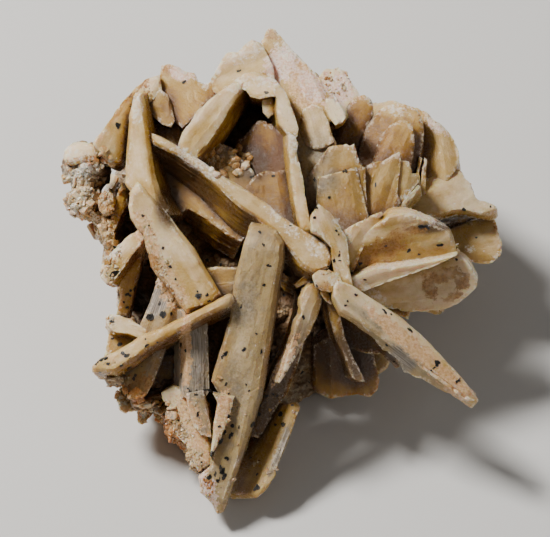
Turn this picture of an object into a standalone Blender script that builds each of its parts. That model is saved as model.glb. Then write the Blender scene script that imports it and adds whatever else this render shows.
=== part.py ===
"""Barite specimen: blades of barite grown through each other, on the stony crust that they grew from.

Every crystal is a flat-faced prism. Its leading face is laid out in the front view, which looks
down on the specimen: u runs to the right, v up the view and w towards the viewer, in millimetres
from the middle of the view. The face leans with its plane, and the prism runs back along its sweep.
"""

import math

import bmesh
import bpy
from mathutils import Matrix, Vector, noise

MM = 0.001
VIEW_ELEVATION = math.radians(55)
# The point under the middle of the specimen, on the surface that it stands on, in the view's own
# millimetres before it becomes the origin: across, away from the viewer, and up.
FOOT = Vector((1.0, 5.0, -37.0))
# The clearance between the blades and the matrix that they sit in, and how far the corners of a
# blade's copy move out to cut room for it, so that its faces clear that gap.
SEAT_GAP = 0.3
SEAT_GROWTH = 0.6
# The surface where the matrix ends and the barite begins: its height under the specimen's middle,
# its rise towards the back, and how steeply it curls up into the crust at the left.
SEAT_HEIGHT = 15.0
SEAT_RISE = 0.20
SEAT_CURL = 0.07
SEAT_CURL_START = -23.0
SEAT_WAVE = 3.0
SEAT_SPAN = 130.0
SEAT_STEPS = 22
# Points this near are one point, and faces within this angle are one flat face.
DOUBLE_DISTANCE = 0.000002
FLAT_ENOUGH = math.radians(0.5)
# The rock's grain: the remesh size, and the share of its faces that are kept.
ROCK_VOXEL = 3.4
ROCK_FACES_KEPT = 0.165

BARITE_COLOUR = (0.62, 0.49, 0.29, 1.0)
MATRIX_COLOUR = (0.42, 0.27, 0.16, 1.0)

RIGHT = Vector((1, 0, 0))
UP_VIEW = Vector((0, math.sin(VIEW_ELEVATION), math.cos(VIEW_ELEVATION)))
TO_VIEWER = Vector((0, -math.cos(VIEW_ELEVATION), math.sin(VIEW_ELEVATION)))


def row_vector(u, v, w):
    """A direction of the front view, in the frame of the specimen."""
    return RIGHT * u + UP_VIEW * v + TO_VIEWER * w


def row_point(u, v, w):
    """A point of the front view, in the frame of the specimen."""
    return row_vector(u, v, w) - FOOT


def crystal(name, outline, depth, lean, sweep, chisel=0.0):
    """One blade: its leading face's outline, the face's depth at the outline's middle, how the
    depth changes across and up the view, the way and distance that the blade runs back, and how
    far its edges are bevelled."""
    return {"name": name, "outline": outline, "depth": depth, "lean": lean, "sweep": sweep,
            "chisel": chisel}


LONG_BLADES = [
    crystal("long_diagonal", chisel=0.5, depth=1.5, lean=(-0.02, -0.35), sweep=(-4, -6, -14), outline=[
        (-29, 31.8), (-24, 29), (-20.5, 27), (-16, 24.2), (-10, 20), (-4.5, 16.8), (-1, 14.5),
        (1.5, 12), (4, 10.2), (8, 8.2), (11.8, 5.8), (13, 2.5), (12, 0.2), (9, -0.8), (6, 1),
        (2.5, 5), (0, 8.3), (-4, 11.3), (-8, 14), (-12, 18), (-17, 22.3), (-22, 25.6), (-27, 28)]),
    crystal("long_upright", chisel=0.8, depth=3.8, lean=(0.12, 0.08), sweep=(0.8, 1, -6), outline=[
        (-6, 9.6), (-2.5, 9), (0, 8), (1.7, 5.5), (1.7, 2), (0.8, -3), (0, -9), (-1.7, -19),
        (-3.3, -29), (-5.5, -36), (-8, -44), (-10, -49.5), (-11.8, -55), (-13.3, -55.6),
        (-14.5, -53), (-17, -50.5), (-17.4, -47), (-14.8, -44.5), (-14, -38), (-12.9, -28),
        (-14.5, -25.5), (-12.3, -18), (-10.2, -10.5), (-9.5, -4), (-7.5, 4)]),
    crystal("crusted_diagonal", chisel=0.8, depth=2.5, lean=(0.05, -0.06), sweep=(0.5, -1, -7), outline=[
        (-32.5, 17.5), (-33, 14), (-32.5, 11.5), (-31, 9.2), (-29.7, 8.2), (-29, 5), (-28, 1),
        (-27, -0.8), (-25.3, -2.5), (-23, -5.5), (-20, -9.8), (-14, -8.5), (-12, -5.8),
        (-14, -2.5), (-16.2, 1), (-18, 4.5), (-20.5, 7.5), (-24, 12), (-27, 15.5), (-31, 19.8)]),
    crystal("left_upright", chisel=0.8, depth=-2, lean=(0.2, -0.15), sweep=(3, 0, -11), outline=[
        (-31.8, 39.6), (-30, 39.6), (-29.3, 36), (-28.5, 31), (-28, 26), (-27.3, 21.5),
        (-26, 17), (-23.5, 12), (-27, 12), (-31, 15), (-34.1, 19), (-33.8, 25), (-33.2, 31),
        (-33, 34.5)]),
    crystal("left_thin_diagonal", chisel=0.8, depth=4, lean=(0.35, -0.25), sweep=(1.5, -2, -9), outline=[
        (-41.3, -23), (-41.2, -21.6), (-39.5, -20), (-36, -18.4), (-33, -16.7), (-30, -14.5),
        (-26, -13.2), (-22, -11.1), (-18, -9.2), (-14, -7.2), (-10, -5), (-9.3, -6.5),
        (-10, -8.2), (-13, -9.6), (-16, -11), (-20, -13.2), (-24, -15.5), (-28, -17.7),
        (-31, -20.2), (-33.5, -21.8), (-36, -23.4)]),
    crystal("great_spear", chisel=0.4, depth=8, lean=(-0.22, -0.12), sweep=(-0.8, -1.2, -5), outline=[
        (14, -2.5), (17.3, -3.5), (20, -5.5), (24, -8), (28, -10.6), (32, -13.8), (34.2, -15.8),
        (38, -20), (42, -24.4), (45.9, -29.2), (44.8, -30.3), (40, -27), (35, -23.3), (30, -19.8),
        (26, -17), (22, -14), (18, -11), (15, -9.2), (13.2, -6), (13.2, -4)]),
    crystal("spear_keel", depth=6.2, lean=(0.6, 0.95), sweep=(1, 2, -4), outline=[
        (18, -11), (22, -14), (26, -17), (30, -19.8), (35, -23.3), (40, -27), (44.5, -30),
        (42, -29.8), (37, -27.2), (34, -25.4), (31, -24.2), (28.8, -23.3), (28.2, -21.8),
        (27, -20), (24, -18.2), (21, -14.5)]),
    crystal("lower_keel", chisel=0.8, depth=-1.5, lean=(0.1, -0.05), sweep=(-7, -0.5, -6.5), outline=[
        (6, -30), (4, -30.5), (2.5, -34), (0.7, -39), (-1.3, -43.5), (-3, -47.5),
        (-4.6, -50.5), (-3.3, -51.6), (-1, -49.2), (0.8, -46.7), (1.3, -44.5), (2.6, -41.3),
        (4, -38), (5.5, -34), (6.5, -31)]),
    crystal("slim_leaf", depth=4.5, lean=(-0.25, 0.15), sweep=(-1.1, 0.1, -3), outline=[
        (8.5, -3.3), (10.2, -4.5), (10.8, -7.5), (9.6, -11), (8, -14.2), (6, -17.7),
        (4.5, -20.2), (3, -22.7), (1.2, -25.8), (0.8, -25.5), (2, -22.3), (3.1, -19),
        (4.1, -15.5), (5.1, -11.6), (6, -10.3), (6.1, -6.8), (7.2, -4.3)]),
    crystal("bent_leaf", depth=6, lean=(-0.15, -0.15), sweep=(-1, -1.5, -10), outline=[
        (8, 10.3), (8.3, 12.3), (9.8, 14.5), (12.5, 12.7), (14.5, 10), (16.2, 7), (16.7, 3),
        (16.8, -0.5), (17.5, -3.8), (14.5, -4), (13.3, -1.5), (12.8, 2), (12.5, 4.8),
        (10.5, 7), (8.3, 8.3)]),
    crystal("curved_edge", depth=1, lean=(0.1, -0.1), sweep=(-1.5, -0.5, -11), outline=[
        (3, 30.5), (4.6, 29.8), (5.3, 28), (4.9, 26.3), (5.6, 23.5), (6.3, 20.3), (6.8, 16.5),
        (7.6, 12.5), (8.3, 9), (8, 7), (5.8, 7.5), (5, 11.5), (4.3, 15), (3.8, 19), (3.3, 23),
        (3, 27)]),
]

LEFT_BLADES = [
    crystal("left_stub", depth=-1.5, lean=(0.15, -0.3), sweep=(1.5, -1, -7), outline=[
        (-39.6, -1.3), (-39.2, 0.4), (-37.5, 3), (-35.5, 5.2), (-33, 7.4), (-30, 9.2),
        (-29.3, 7), (-30.5, 5), (-32.3, 2.8), (-34.5, -0.5), (-36.5, -3.2), (-38.3, -3.3)]),
    crystal("left_back_leaf", depth=-6, lean=(-0.3, 0.05), sweep=(0.5, 0, -5), outline=[
        (-35.5, -2), (-33.5, 1), (-31, 6), (-29.6, 5), (-30.3, 1), (-31.5, -4), (-32.3, -8),
        (-33, -11.3), (-36, -10.8), (-35, -6.5)]),
    crystal("striated_slab", depth=-2.5, lean=(0.1, -0.05), sweep=(0.5, 1, -7), outline=[
        (-26.3, -1.5), (-23, -4.5), (-20, -9), (-19.5, -12), (-22, -14), (-24.5, -18),
        (-26, -22), (-27.5, -26), (-29, -28.6), (-30.7, -29.7), (-33, -28.8), (-35.3, -25.5),
        (-35.5, -23.5), (-33, -19), (-30.5, -13), (-28.8, -9), (-27.5, -5.5)]),
    crystal("grey_block", depth=0.5, lean=(-0.1, 0.05), sweep=(-2.8, -0.5, -6), outline=[
        (-20.3, -9), (-15, -8), (-14.9, -14), (-14.7, -20), (-14.6, -27.5), (-15.5, -29),
        (-20, -29), (-20, -20), (-20.2, -14)]),
    crystal("grey_spur", depth=0.6, lean=(0, 0), sweep=(0, 0.5, -5), outline=[
        (-20, -28), (-16, -27.5), (-15.5, -30), (-14.5, -35), (-14.3, -38), (-16.5, -37.5),
        (-18.7, -35), (-19.5, -31)]),
    crystal("low_chunk", depth=-1.5, lean=(0.15, -0.1), sweep=(1, 1, -7), outline=[
        (-22.9, -26.4), (-25.7, -28), (-25.4, -30), (-23.6, -30.7), (-23.4, -33.6),
        (-22.3, -37.5), (-20, -39.7), (-19.1, -42.4), (-17.8, -44.4), (-17.6, -45.6),
        (-14.5, -44), (-14.3, -38), (-15.5, -31), (-18.5, -28)]),
    crystal("raised_slab", depth=3.9, lean=(0.12, 0.08), sweep=(0, 0.4, -3), outline=[
        (-14, -28), (-9, -28.7), (-10.1, -33), (-11.7, -36.8), (-13.1, -39.9), (-14.6, -42.6),
        (-14.2, -39.9), (-13.5, -34.1), (-12.8, -30.2)]),
    crystal("left_lower_block", depth=-2, lean=(0.1, -0.4), sweep=(0, -2, -7), outline=[
        (-38.2, -11), (-37.2, -10.2), (-35, -10.4), (-31.5, -12), (-28.5, -14), (-29.5, -16),
        (-33, -14.6), (-36, -14.3), (-37.4, -13.6)]),
    crystal("left_lower_leaf", depth=-5, lean=(0, -0.2), sweep=(0.5, -1, -6), outline=[
        (-37.3, -13.5), (-33, -13.5), (-31, -17), (-34, -19.8), (-38.6, -19.8), (-37.9, -17)]),
    crystal("inner_left", depth=-6, lean=(-0.3, -0.1), sweep=(1, 0, -8), outline=[
        (-38.2, 7), (-37.2, 11), (-36, 15.5), (-34.5, 19.3), (-33, 17.5), (-33.1, 14.5),
        (-34.8, 11.8), (-36.3, 8.3), (-36.2, 5.5), (-37.8, 2.5), (-38.4, 4.5)]),
    crystal("left_wall", depth=-7, lean=(-0.5, -0.35), sweep=(0.5, -2, -8), outline=[
        (-41.5, 28.2), (-39, 30.8), (-37, 33.8), (-35.5, 36.2), (-33.5, 38.6), (-31.5, 40.8),
        (-29.5, 42.6), (-28, 43), (-29.5, 38), (-32.5, 34), (-33.2, 30), (-34, 24),
        (-37, 24), (-39.5, 26.5)]),
    crystal("left_rim", depth=-9, lean=(0, -0.3), sweep=(0, -2, -8), outline=[
        (-31.5, 40.3), (-29.5, 42.7), (-28, 43.3), (-26, 43.8), (-25.5, 40), (-28, 37.5),
        (-30.5, 38)]),
    crystal("white_tooth", depth=-9, lean=(0.1, 0), sweep=(1, 3, -4), outline=[
        (-35.9, -29.5), (-34.9, -27.3), (-32, -27), (-31.3, -32.4), (-33, -32.6),
        (-35.2, -31.6)]),
    crystal("twin_teeth", depth=-9, lean=(-0.1, 0), sweep=(0.5, 3, -4), outline=[
        (-31.1, -31), (-29.8, -29.5), (-27.8, -29.5), (-27.3, -32.3), (-29, -34.4),
        (-30.2, -35.3), (-31.1, -34.8)]),
    crystal("small_shelf", depth=-1.5, lean=(0, -0.2), sweep=(0, -2, -6), outline=[
        (-15.4, 0.3), (-13, 0.5), (-11, 0.3), (-7, 0.3), (-7.5, -3), (-10, -6), (-14, -6),
        (-14.8, -3)]),
]

TOP_BLADES = [
    crystal("lower_parallel", depth=-9, lean=(-0.05, -0.3), sweep=(-2, -4, -8), outline=[
        (-28.2, 24.3), (-26, 23), (-22.3, 20.8), (-20, 19), (-17, 16.8), (-13.8, 13.2),
        (-12.5, 11.6), (-10, 10.2), (-8, 9.4), (-6.3, 8), (-7.5, 6), (-12, 8.5), (-16, 11.5),
        (-19.5, 13.5), (-22.5, 12), (-26.5, 13.5), (-27.8, 19)]),
    crystal("arch_leaf", depth=-4.5, lean=(-0.05, -0.25), sweep=(2.8, -1.2, -9), outline=[
        (-21.8, 28), (-21, 30.5), (-19.3, 33), (-17.5, 35.7), (-15, 38), (-12, 40.2),
        (-9.5, 42), (-7.5, 42), (-7.5, 40.2), (-9, 38), (-10.5, 35.7), (-12, 33),
        (-13.8, 30.3), (-15.8, 27.5), (-17.3, 25.3), (-19, 24), (-22, 26)]),
    crystal("arch_top", depth=-7, lean=(0.1, -0.5), sweep=(0.5, -2, -12), outline=[
        (-8.7, 42.4), (-7, 44), (-5, 44.5), (-2, 43.7), (0.2, 42.5), (1.8, 40.5), (1, 38.4),
        (-0.5, 38.8), (-3.5, 38.2), (-5.5, 38.7), (-6.5, 40), (-7.6, 40.5)]),
    crystal("tan_shoulder", depth=-4, lean=(0.05, -0.3), sweep=(-2, -1, -12), outline=[
        (0.3, 38.5), (0.5, 35), (1, 32.5), (3, 30), (5, 29.5), (5.3, 31.5), (4.3, 35),
        (3.2, 38), (2, 40.5), (0, 41.5), (-0.5, 40)]),
    crystal("hanging_tooth", depth=-7, lean=(0, 0), sweep=(0, 2, -5), outline=[
        (-2.5, 39.5), (-0.8, 39.5), (0.1, 36.5), (-0.2, 34.6), (-1.5, 33.8), (-2.7, 35),
        (-3, 37)]),
    crystal("top_plate", depth=-13, lean=(0, -0.5), sweep=(1, -4, -14), outline=[
        (-14.5, 42.8), (-13.5, 44.5), (-12.5, 46.5), (-11.2, 48.5), (-10.7, 49), (-8.5, 49),
        (-7, 50.5), (-5.2, 51.9), (-3.3, 51.2), (-2, 49), (-0.5, 46), (0, 41), (-5, 40),
        (-10, 38), (-14, 40)]),
    crystal("summit_ridge", depth=-12, lean=(0.05, -0.45), sweep=(-1, -4, -14), outline=[
        (-2.5, 52.3), (-2, 53.8), (-1.3, 54.6), (0, 54.3), (1.5, 52.5), (3.5, 50), (7.5, 46),
        (10, 43.5), (12, 41.2), (14, 39), (15, 37.2), (15, 35), (12.4, 33), (12.6, 30.5),
        (14, 28.5), (13, 24), (9, 19), (6, 20), (4.6, 26), (4.5, 32), (3.5, 36), (1, 40),
        (-2, 45), (-3.2, 50.5)]),
    crystal("summit_step", depth=-9.8, lean=(0, -0.3), sweep=(0, -1, -5), outline=[
        (11.5, 38.5), (13.5, 38.1), (15, 37.2), (15.9, 35.4), (14.5, 34.6), (13.3, 33.2),
        (11.8, 33.2), (11.2, 36)]),
    crystal("summit_patch", depth=-11.6, lean=(0.05, -0.4), sweep=(0, -1, -4), outline=[
        (5.8, 41.5), (8.5, 41.3), (9.6, 39.5), (8.7, 37), (7, 36.2), (5.7, 38)]),
    crystal("pink_lump", depth=-21, lean=(0, -0.4), sweep=(0, -5, -10), outline=[
        (10, 43.8), (11.5, 45.5), (13.2, 45.3), (14.4, 45.9), (16.2, 44.7), (17.3, 42.4),
        (19.2, 39.8), (19, 36), (15, 33), (10, 38)]),
    crystal("upper_left_block", depth=-11, lean=(0, -0.45), sweep=(0.5, -4, -12), outline=[
        (-27, 43.2), (-26, 43.8), (-25.7, 46), (-24, 46.3), (-22, 45.7), (-20.2, 44.6),
        (-18.1, 44.3), (-17.5, 42.3), (-16, 41.8), (-13, 42.5), (-13, 39.5), (-16.5, 36.5),
        (-19, 33.5), (-21, 32), (-23, 34), (-24.5, 38), (-27, 40)]),
    crystal("upper_left_tooth", depth=-8, lean=(0.1, -0.2), sweep=(0.5, -1, -9), outline=[
        (-28.4, 36.5), (-27.6, 39.4), (-26, 40.6), (-24.3, 39.3), (-23.3, 37), (-22.5, 33.5),
        (-23.5, 31.8), (-25.5, 32.5), (-27.8, 34.5)]),
    crystal("shaded_teeth", depth=-11, lean=(0, -0.2), sweep=(0, -1, -8), outline=[
        (-27.5, 34), (-24, 33.5), (-21, 34), (-19, 31.5), (-21.5, 27), (-24, 26), (-28, 29)]),
    crystal("amber_window", depth=-10, lean=(0.35, -0.1), sweep=(0.5, -1.5, -5), outline=[
        (-3.8, 33.6), (-1.5, 33), (0.8, 31.9), (3, 30.5), (4, 26), (3.5, 20), (0, 17),
        (-6, 18), (-9, 23), (-9.5, 28), (-7, 30.2), (-5.5, 31.8)]),
    crystal("dull_cluster", depth=-9, lean=(0, -0.2), sweep=(0.5, -3, -8), outline=[
        (-16.8, 25.5), (-15.5, 28), (-13, 28.5), (-11, 28.1), (-9.4, 27), (-8.7, 25.4),
        (-7.6, 24.7), (-6, 23.3), (-4.8, 22), (-4.5, 20.5), (-6, 14), (-12, 14), (-16, 19)]),
    crystal("shaded_leaf", depth=-6, lean=(0.1, -0.15), sweep=(0, -2, -6), outline=[
        (-5, 20.5), (-3.5, 21.6), (-1.5, 22.1), (0, 21.7), (3.2, 23.2), (4.2, 19), (5.2, 12),
        (4.5, 7), (0, 6), (-6, 9), (-8.5, 15), (-6.5, 19)]),
]

RIGHT_BLADES = [
    crystal("broad_window", depth=-2.5, lean=(0.05, -0.1), sweep=(0.5, -2, -6), outline=[
        (6.3, 20), (9, 23.5), (11.5, 26.6), (12.2, 27.4), (16, 28.1), (16.8, 27.6),
        (17.8, 28.1), (19.2, 23.6), (20.3, 22.8), (20.4, 18), (21, 12), (20, 4), (12, 2),
        (7.5, 8)]),
    crystal("side_window", depth=-3.6, lean=(-0.05, -0.1), sweep=(0.5, -2, -6), outline=[
        (19.5, 23.2), (24, 24.4), (28, 26.3), (28.4, 24.4), (27.5, 17), (28.3, 15),
        (26, 11.5), (22, 6), (18, 4), (19, 12)]),
    crystal("window_step", depth=-4.8, lean=(-0.1, -0.1), sweep=(0.5, -2, -6), outline=[
        (26, 25.4), (28.2, 26.2), (28.4, 24.4), (30.2, 24.1), (30.8, 21.5), (32.3, 21.6),
        (32.4, 19.8), (30.3, 17), (28.6, 14), (25, 10), (24, 16)]),
    crystal("white_needle", depth=-4.5, lean=(-0.1, -0.2), sweep=(0.5, -2, -6), outline=[
        (25.6, 12), (29, 15.2), (32.2, 18.9), (32.8, 18.5), (29.7, 14.3), (27, 11)]),
    crystal("fold_a", depth=-19, lean=(0.25, -0.1), sweep=(0.5, -4, -9), outline=[
        (12.2, 33.5), (15.8, 36), (17.8, 38.2), (20, 39.3), (22, 38.8), (22.3, 35),
        (20.5, 31), (19.3, 27), (19, 20), (14, 20), (12, 28)]),
    crystal("fold_b", depth=-16.8, lean=(0.3, -0.25), sweep=(0.5, -4, -9), outline=[
        (19, 20), (18.8, 26), (19.8, 29.5), (21.5, 33), (22.5, 36), (23.3, 39.5),
        (24.7, 39.6), (25.6, 38.3), (27, 37.3), (27.5, 34), (25, 30), (23.5, 26), (23, 20)]),
    crystal("fold_c", depth=-15.6, lean=(0.3, -0.25), sweep=(0.5, -4, -9), outline=[
        (21, 20), (21.3, 27), (22.5, 30.5), (25, 33), (28, 34.8), (29.5, 36.6), (31, 36.3),
        (31.5, 33), (30.5, 30.5), (29.3, 27.5), (28, 20)]),
    crystal("fold_d", depth=-20.5, lean=(0.05, -0.35), sweep=(0.5, -4, -9), outline=[
        (29, 31), (30, 34.5), (31.8, 36.6), (33.5, 35.6), (35, 35), (35.9, 33.4),
        (38, 32.3), (40.3, 29.7), (41.4, 27.5), (41.9, 25.3), (41, 22), (38, 18),
        (32, 14), (29, 20)]),
    crystal("rib_a", depth=-14.5, lean=(0, -0.2), sweep=(0.5, -2, -8), outline=[
        (30.6, 30.2), (31, 28), (30, 25), (29.5, 20), (28, 20), (28.6, 24.4), (29.6, 28)]),
    crystal("rib_b", depth=-13.5, lean=(0, -0.2), sweep=(0.5, -2, -9), outline=[
        (32.6, 25.5), (33.3, 25), (32.7, 21.5), (33.2, 17), (31.5, 15), (31.8, 21.5)]),
    crystal("rib_c", depth=-14, lean=(0, -0.2), sweep=(0.5, -2, -9), outline=[
        (33.8, 25.2), (34.5, 24.6), (34.1, 22), (34.2, 17), (32.6, 16), (33.2, 22.5)]),
    crystal("shelf", depth=-15, lean=(-0.3, -0.5), sweep=(0.5, -1.5, -3.5), outline=[
        (26.5, 12.4), (29.5, 15.8), (32.3, 19), (35, 21.3), (38, 22.2), (41, 22.9),
        (42.4, 22.4), (43, 20.3), (44.1, 19.6), (44.9, 17.5), (45.5, 15.6),
        (48, 15.1), (50.6, 14), (49.3, 12.4), (46, 12.4), (42, 13.6), (37, 12.2),
        (34, 10.8), (29, 8), (22, 5)]),
    crystal("outer_leaf", depth=-19, lean=(-0.1, -0.3), sweep=(-1.5, 1, -4.5), outline=[
        (49.2, 12.4), (50.2, 10.7), (50.4, 8.6), (51.2, 6.8), (51.5, 4.4), (50.9, 2.4),
        (49.4, 1.2), (47.3, 0.9), (44, 1.6), (41, 2), (28, 2), (26, 6), (36, 8),
        (41, 9.5), (45, 10.8)]),
    crystal("fan_small", depth=1, lean=(-0.3, -0.1), sweep=(0, -1.5, -5), outline=[
        (14.5, 8.3), (19, 10.6), (22, 12.1), (23.9, 12.8), (24.3, 12.3), (23.8, 11),
        (21.5, 7), (19.5, 4), (17.5, -1), (14, 2)]),
    crystal("fan_large", depth=-1.5, lean=(-0.22, 0.2), sweep=(0, 1.5, -3.5), outline=[
        (24.1, 10.6), (25.5, 12), (27, 12.4), (31, 12.2), (33, 11.2), (36, 10.1), (37, 9.4),
        (39.3, 8.1), (39.7, 7), (40.4, 5.5), (41, 2.9), (34, 2), (29, 0), (23, -1.5),
        (15, -3), (14, 2), (18, 6.5)]),
    crystal("fan_edge", depth=2.5, lean=(-0.3, 0.1), sweep=(0.5, 2.8, -9), outline=[
        (41, 2.9), (36, 1.6), (31, 0.8), (26, 0), (22.5, -0.1), (18, -1.8), (15, -3),
        (16, -5), (20, -5.2), (24, -3.6), (29, -1.8), (35, 0.2)]),
    crystal("stained_leaf", depth=-4.5, lean=(-0.15, 0.1), sweep=(0, 1.5, -3.5), outline=[
        (41, 2.9), (43.8, 1.2), (44.9, -1), (45.8, -2.4), (45.4, -3), (45.6, -4),
        (44, -5.6), (41.5, -7.8), (40, -8.7), (36, -9.7), (30, -10), (26, -9), (16, -7),
        (13, -3), (22, 0), (30, 1), (36, 2)]),
    crystal("leaf_sliver", depth=-6, lean=(0, 0), sweep=(0, 2, -4), outline=[
        (22, -6), (31, -8), (30, -11.6), (26, -10)]),
    crystal("knot_cap", depth=7.6, lean=(-0.1, -0.2), sweep=(0, -0.5, -9), outline=[
        (8.3, -1.5), (10, -0.3), (12.5, -0.5), (14.5, -1.5), (15.2, -3.5), (14, -5),
        (12.3, -5.3), (10.5, -5), (9, -4)]),
    crystal("thin_strut", depth=0.5, lean=(-0.1, 0.2), sweep=(-1.5, 0, -7), outline=[
        (11.5, -5), (14, -6), (15, -12.3), (16, -16), (17.6, -20), (19.5, -23.5),
        (20.3, -25.3), (18.9, -25.4), (17.3, -24.5), (16.3, -21.5), (15, -18.5),
        (13.5, -15), (12, -10)]),
    crystal("small_strut", depth=5.5, lean=(0, 0), sweep=(0, 0, -5), outline=[
        (10, -3.8), (11.7, -4), (13.1, -7.5), (12.5, -8.1), (11.2, -7.2), (10.2, -5.8)]),
    crystal("amber_underleaf", depth=-3, lean=(0, 0), sweep=(0, 2, -4), outline=[
        (13, -8), (17, -10), (21, -13), (24, -16.5), (27.3, -20.2), (28.2, -22),
        (27.3, -22.6), (24, -19.4), (20, -19), (15, -18)]),
    crystal("brown_underleaf", depth=-8, lean=(0.1, 0.3), sweep=(-1, 2, -4), outline=[
        (9, -18), (16, -12), (20, -14), (22.5, -20), (23.7, -25.3), (23.2, -27.6), (21.4, -29.1),
        (18.5, -28.4), (15.8, -28.9), (12, -29.6), (9, -28)]),
    crystal("shadow_blade", depth=-3, lean=(0.1, 0.1), sweep=(0, 2, -7), outline=[
        (4.5, -6), (3.9, -12), (2, -18), (-1, -24), (-4, -32), (-6.5, -38), (-3.5, -38.5),
        (0, -32), (3, -28), (5, -22), (8, -12), (8, -6)]),
    crystal("pin_left", depth=1.5, lean=(0, 0), sweep=(0, 0, -5), outline=[
        (-1.5, -0.5), (1.5, -0.7), (3.2, -2.1), (2.6, -3), (-1, -2.6)]),
    crystal("pin_right", depth=2.5, lean=(0, 0), sweep=(0, 1, -7), outline=[
        (4, -3.5), (5.5, -2.6), (7.5, -0.8), (9.5, -0.6), (9, -2.6), (6, -4.2), (4.8, -4.6)]),
]

ALL_CRYSTALS = LONG_BLADES + LEFT_BLADES + TOP_BLADES + RIGHT_BLADES


# Lumps of the massive barite and of the matrix under it, which run together into one rock. Each
# has its middle and its radii. These are placed in the front view (u, v, w).
VIEW_LUMPS = [
    ((-14, 26, -24), (21, 14, 10)),
    ((-2, 34, -26), (17, 11, 10)),
    ((14, 22, -26), (18, 13, 10)),
    ((28, 18, -30), (12, 11, 8)),
    ((-23, 12, -21), (14, 14, 10)),
    ((-8, 4, -23), (18, 15, 9)),
    ((12, 4, -22), (17, 13, 11)),
    ((27, 4, -20), (10, 6, 8)),
    ((-26, -8, -18), (10, 13, 8)),
    ((-10, -18, -16), (14, 14, 8)),
    ((7, -14, -20), (12, 12, 8)),
    ((-17, -32, -12), (8, 11, 6)),
    ((-4, -33, -15), (7, 9, 6)),
    ((-42, 23, -17), (6.3, 6, 10)),
    ((-42.4, 15, -16), (5, 5, 9)),
    ((-37.6, 9.5, -15), (3.6, 4.6, 9)),
    ((-34.6, 3, -14), (2.6, 4, 8)),
    ((-34.4, -6, -11), (2.6, 5, 6)),
    ((-35.6, -24.6, -7), (3.4, 2.4, 6)),
    ((-29, -30.5, -11), (4, 3.4, 7)),
    ((-21.8, -35.6, -7), (3.6, 4.2, 6)),
    ((-17.8, -43, -4), (2.8, 3.4, 4)),
]
# And these in the specimen's own frame (x, y, z), up from the surface that it stands on.
FOOT_LUMPS = [
    ((-1, 12, 8), (29, 26, 15)),
    ((-12, -8, 5), (21, 24, 10)),
    ((-2, 25, 15), (31, 16, 16)),
    ((11, -3, 6), (15, 15, 9)),
    ((-25, 22, 18), (14.5, 17, 16)),
    ((-17, -21, 4), (12, 12, 7)),
    ((22, 22, 14), (12, 15, 12)),
]

# Blades round the back and sides, in the specimen's own frame: where the blade roots, its tip, the
# roll of its broad face about its length in degrees, its width and its thickness.
RIM_BLADES = [
    ((-4, 32, 34), (-4, 57, 32), 25, 17, 3.8),
    ((4, 30, 32), (10, 54, 26), 70, 15, 3.4),
    ((-12, 30, 32), (-16, 51, 29), -40, 16, 3.6),
    ((-18, 26, 30), (-31, 46, 30), 20, 16, 3.6),
    ((14, 28, 32), (26, 46, 29), -35, 15, 3.4),
    ((-8, 28, 28), (-6, 56, 20), 80, 15, 3.2),
    ((8, 26, 26), (19, 51, 17), 15, 14, 3.2),
    ((-18, 24, 26), (-32, 45, 19), -60, 14, 3.2),
    ((20, 22, 28), (38, 35, 22), 45, 15, 3.4),
    ((24, 18, 26), (45, 23, 21), -20, 14, 3.4),
    ((22, 10, 22), (43, 13, 15), 50, 12, 3),
    ((18, 2, 20), (37, 1, 13), -50, 11, 3),
    ((8, -4, 16), (25, -12, 9), 30, 10, 2.8),
    ((-24, 18, 26), (-42, 25, 20), 35, 13, 3.2),
    ((-22, 10, 22), (-40, 12, 13), -30, 12, 3),
    ((-20, 0, 19), (-36, -3, 10), 55, 11, 3),
    ((-18, -14, 15), (-34, -19, 8), -20, 10, 2.6),
]
RIM_CHISEL = 0.5


def collection_named(name, shown):
    """A collection of the scene, left out of a render if it only holds cutters and joins."""
    made = bpy.data.collections.new(name)
    bpy.context.scene.collection.children.link(made)
    made.hide_render = not shown
    return made


def evaluated_mesh(obj):
    """The object's shape with its modifiers, as a mesh of its own."""
    bpy.context.view_layer.update()
    graph = bpy.context.evaluated_depsgraph_get()
    return bpy.data.meshes.new_from_object(obj.evaluated_get(graph))


def placed(name, data, collection):
    """A new object that shows this mesh or curve where its points already are."""
    obj = bpy.data.objects.new(name, data)
    collection.objects.link(obj)
    obj.hide_render = collection.hide_render
    if obj.hide_render:
        obj.display_type = "WIRE"
    return obj


def tidied(mesh, dissolve_angle=None):
    """Merges the mesh's doubled points, joins its flat faces if asked, and turns every face outwards."""
    shape = bmesh.new()
    shape.from_mesh(mesh)
    bmesh.ops.remove_doubles(shape, verts=shape.verts, dist=DOUBLE_DISTANCE)
    if dissolve_angle:
        bmesh.ops.dissolve_limit(
            shape, angle_limit=dissolve_angle, verts=shape.verts, edges=shape.edges)
    bmesh.ops.recalc_face_normals(shape, faces=shape.faces)
    shape.to_mesh(mesh)
    shape.free()
    return mesh


def without_bubbles(mesh):
    """Keeps the mesh's largest closed surface, so that no sealed bubble or crumb stays."""
    shape = bmesh.new()
    shape.from_mesh(mesh)
    surfaces = []
    unseen = set(shape.verts)
    while unseen:
        search_front = [unseen.pop()]
        surface = list(search_front)
        while search_front:
            vert = search_front.pop()
            for edge in vert.link_edges:
                other = edge.other_vert(vert)
                if other in unseen:
                    unseen.remove(other)
                    surface.append(other)
                    search_front.append(other)
        surfaces.append(surface)
    surfaces.sort(key=len)
    for surface in surfaces[:-1]:
        bmesh.ops.delete(shape, geom=surface, context="VERTS")
    shape.to_mesh(mesh)
    shape.free()
    return mesh


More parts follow.
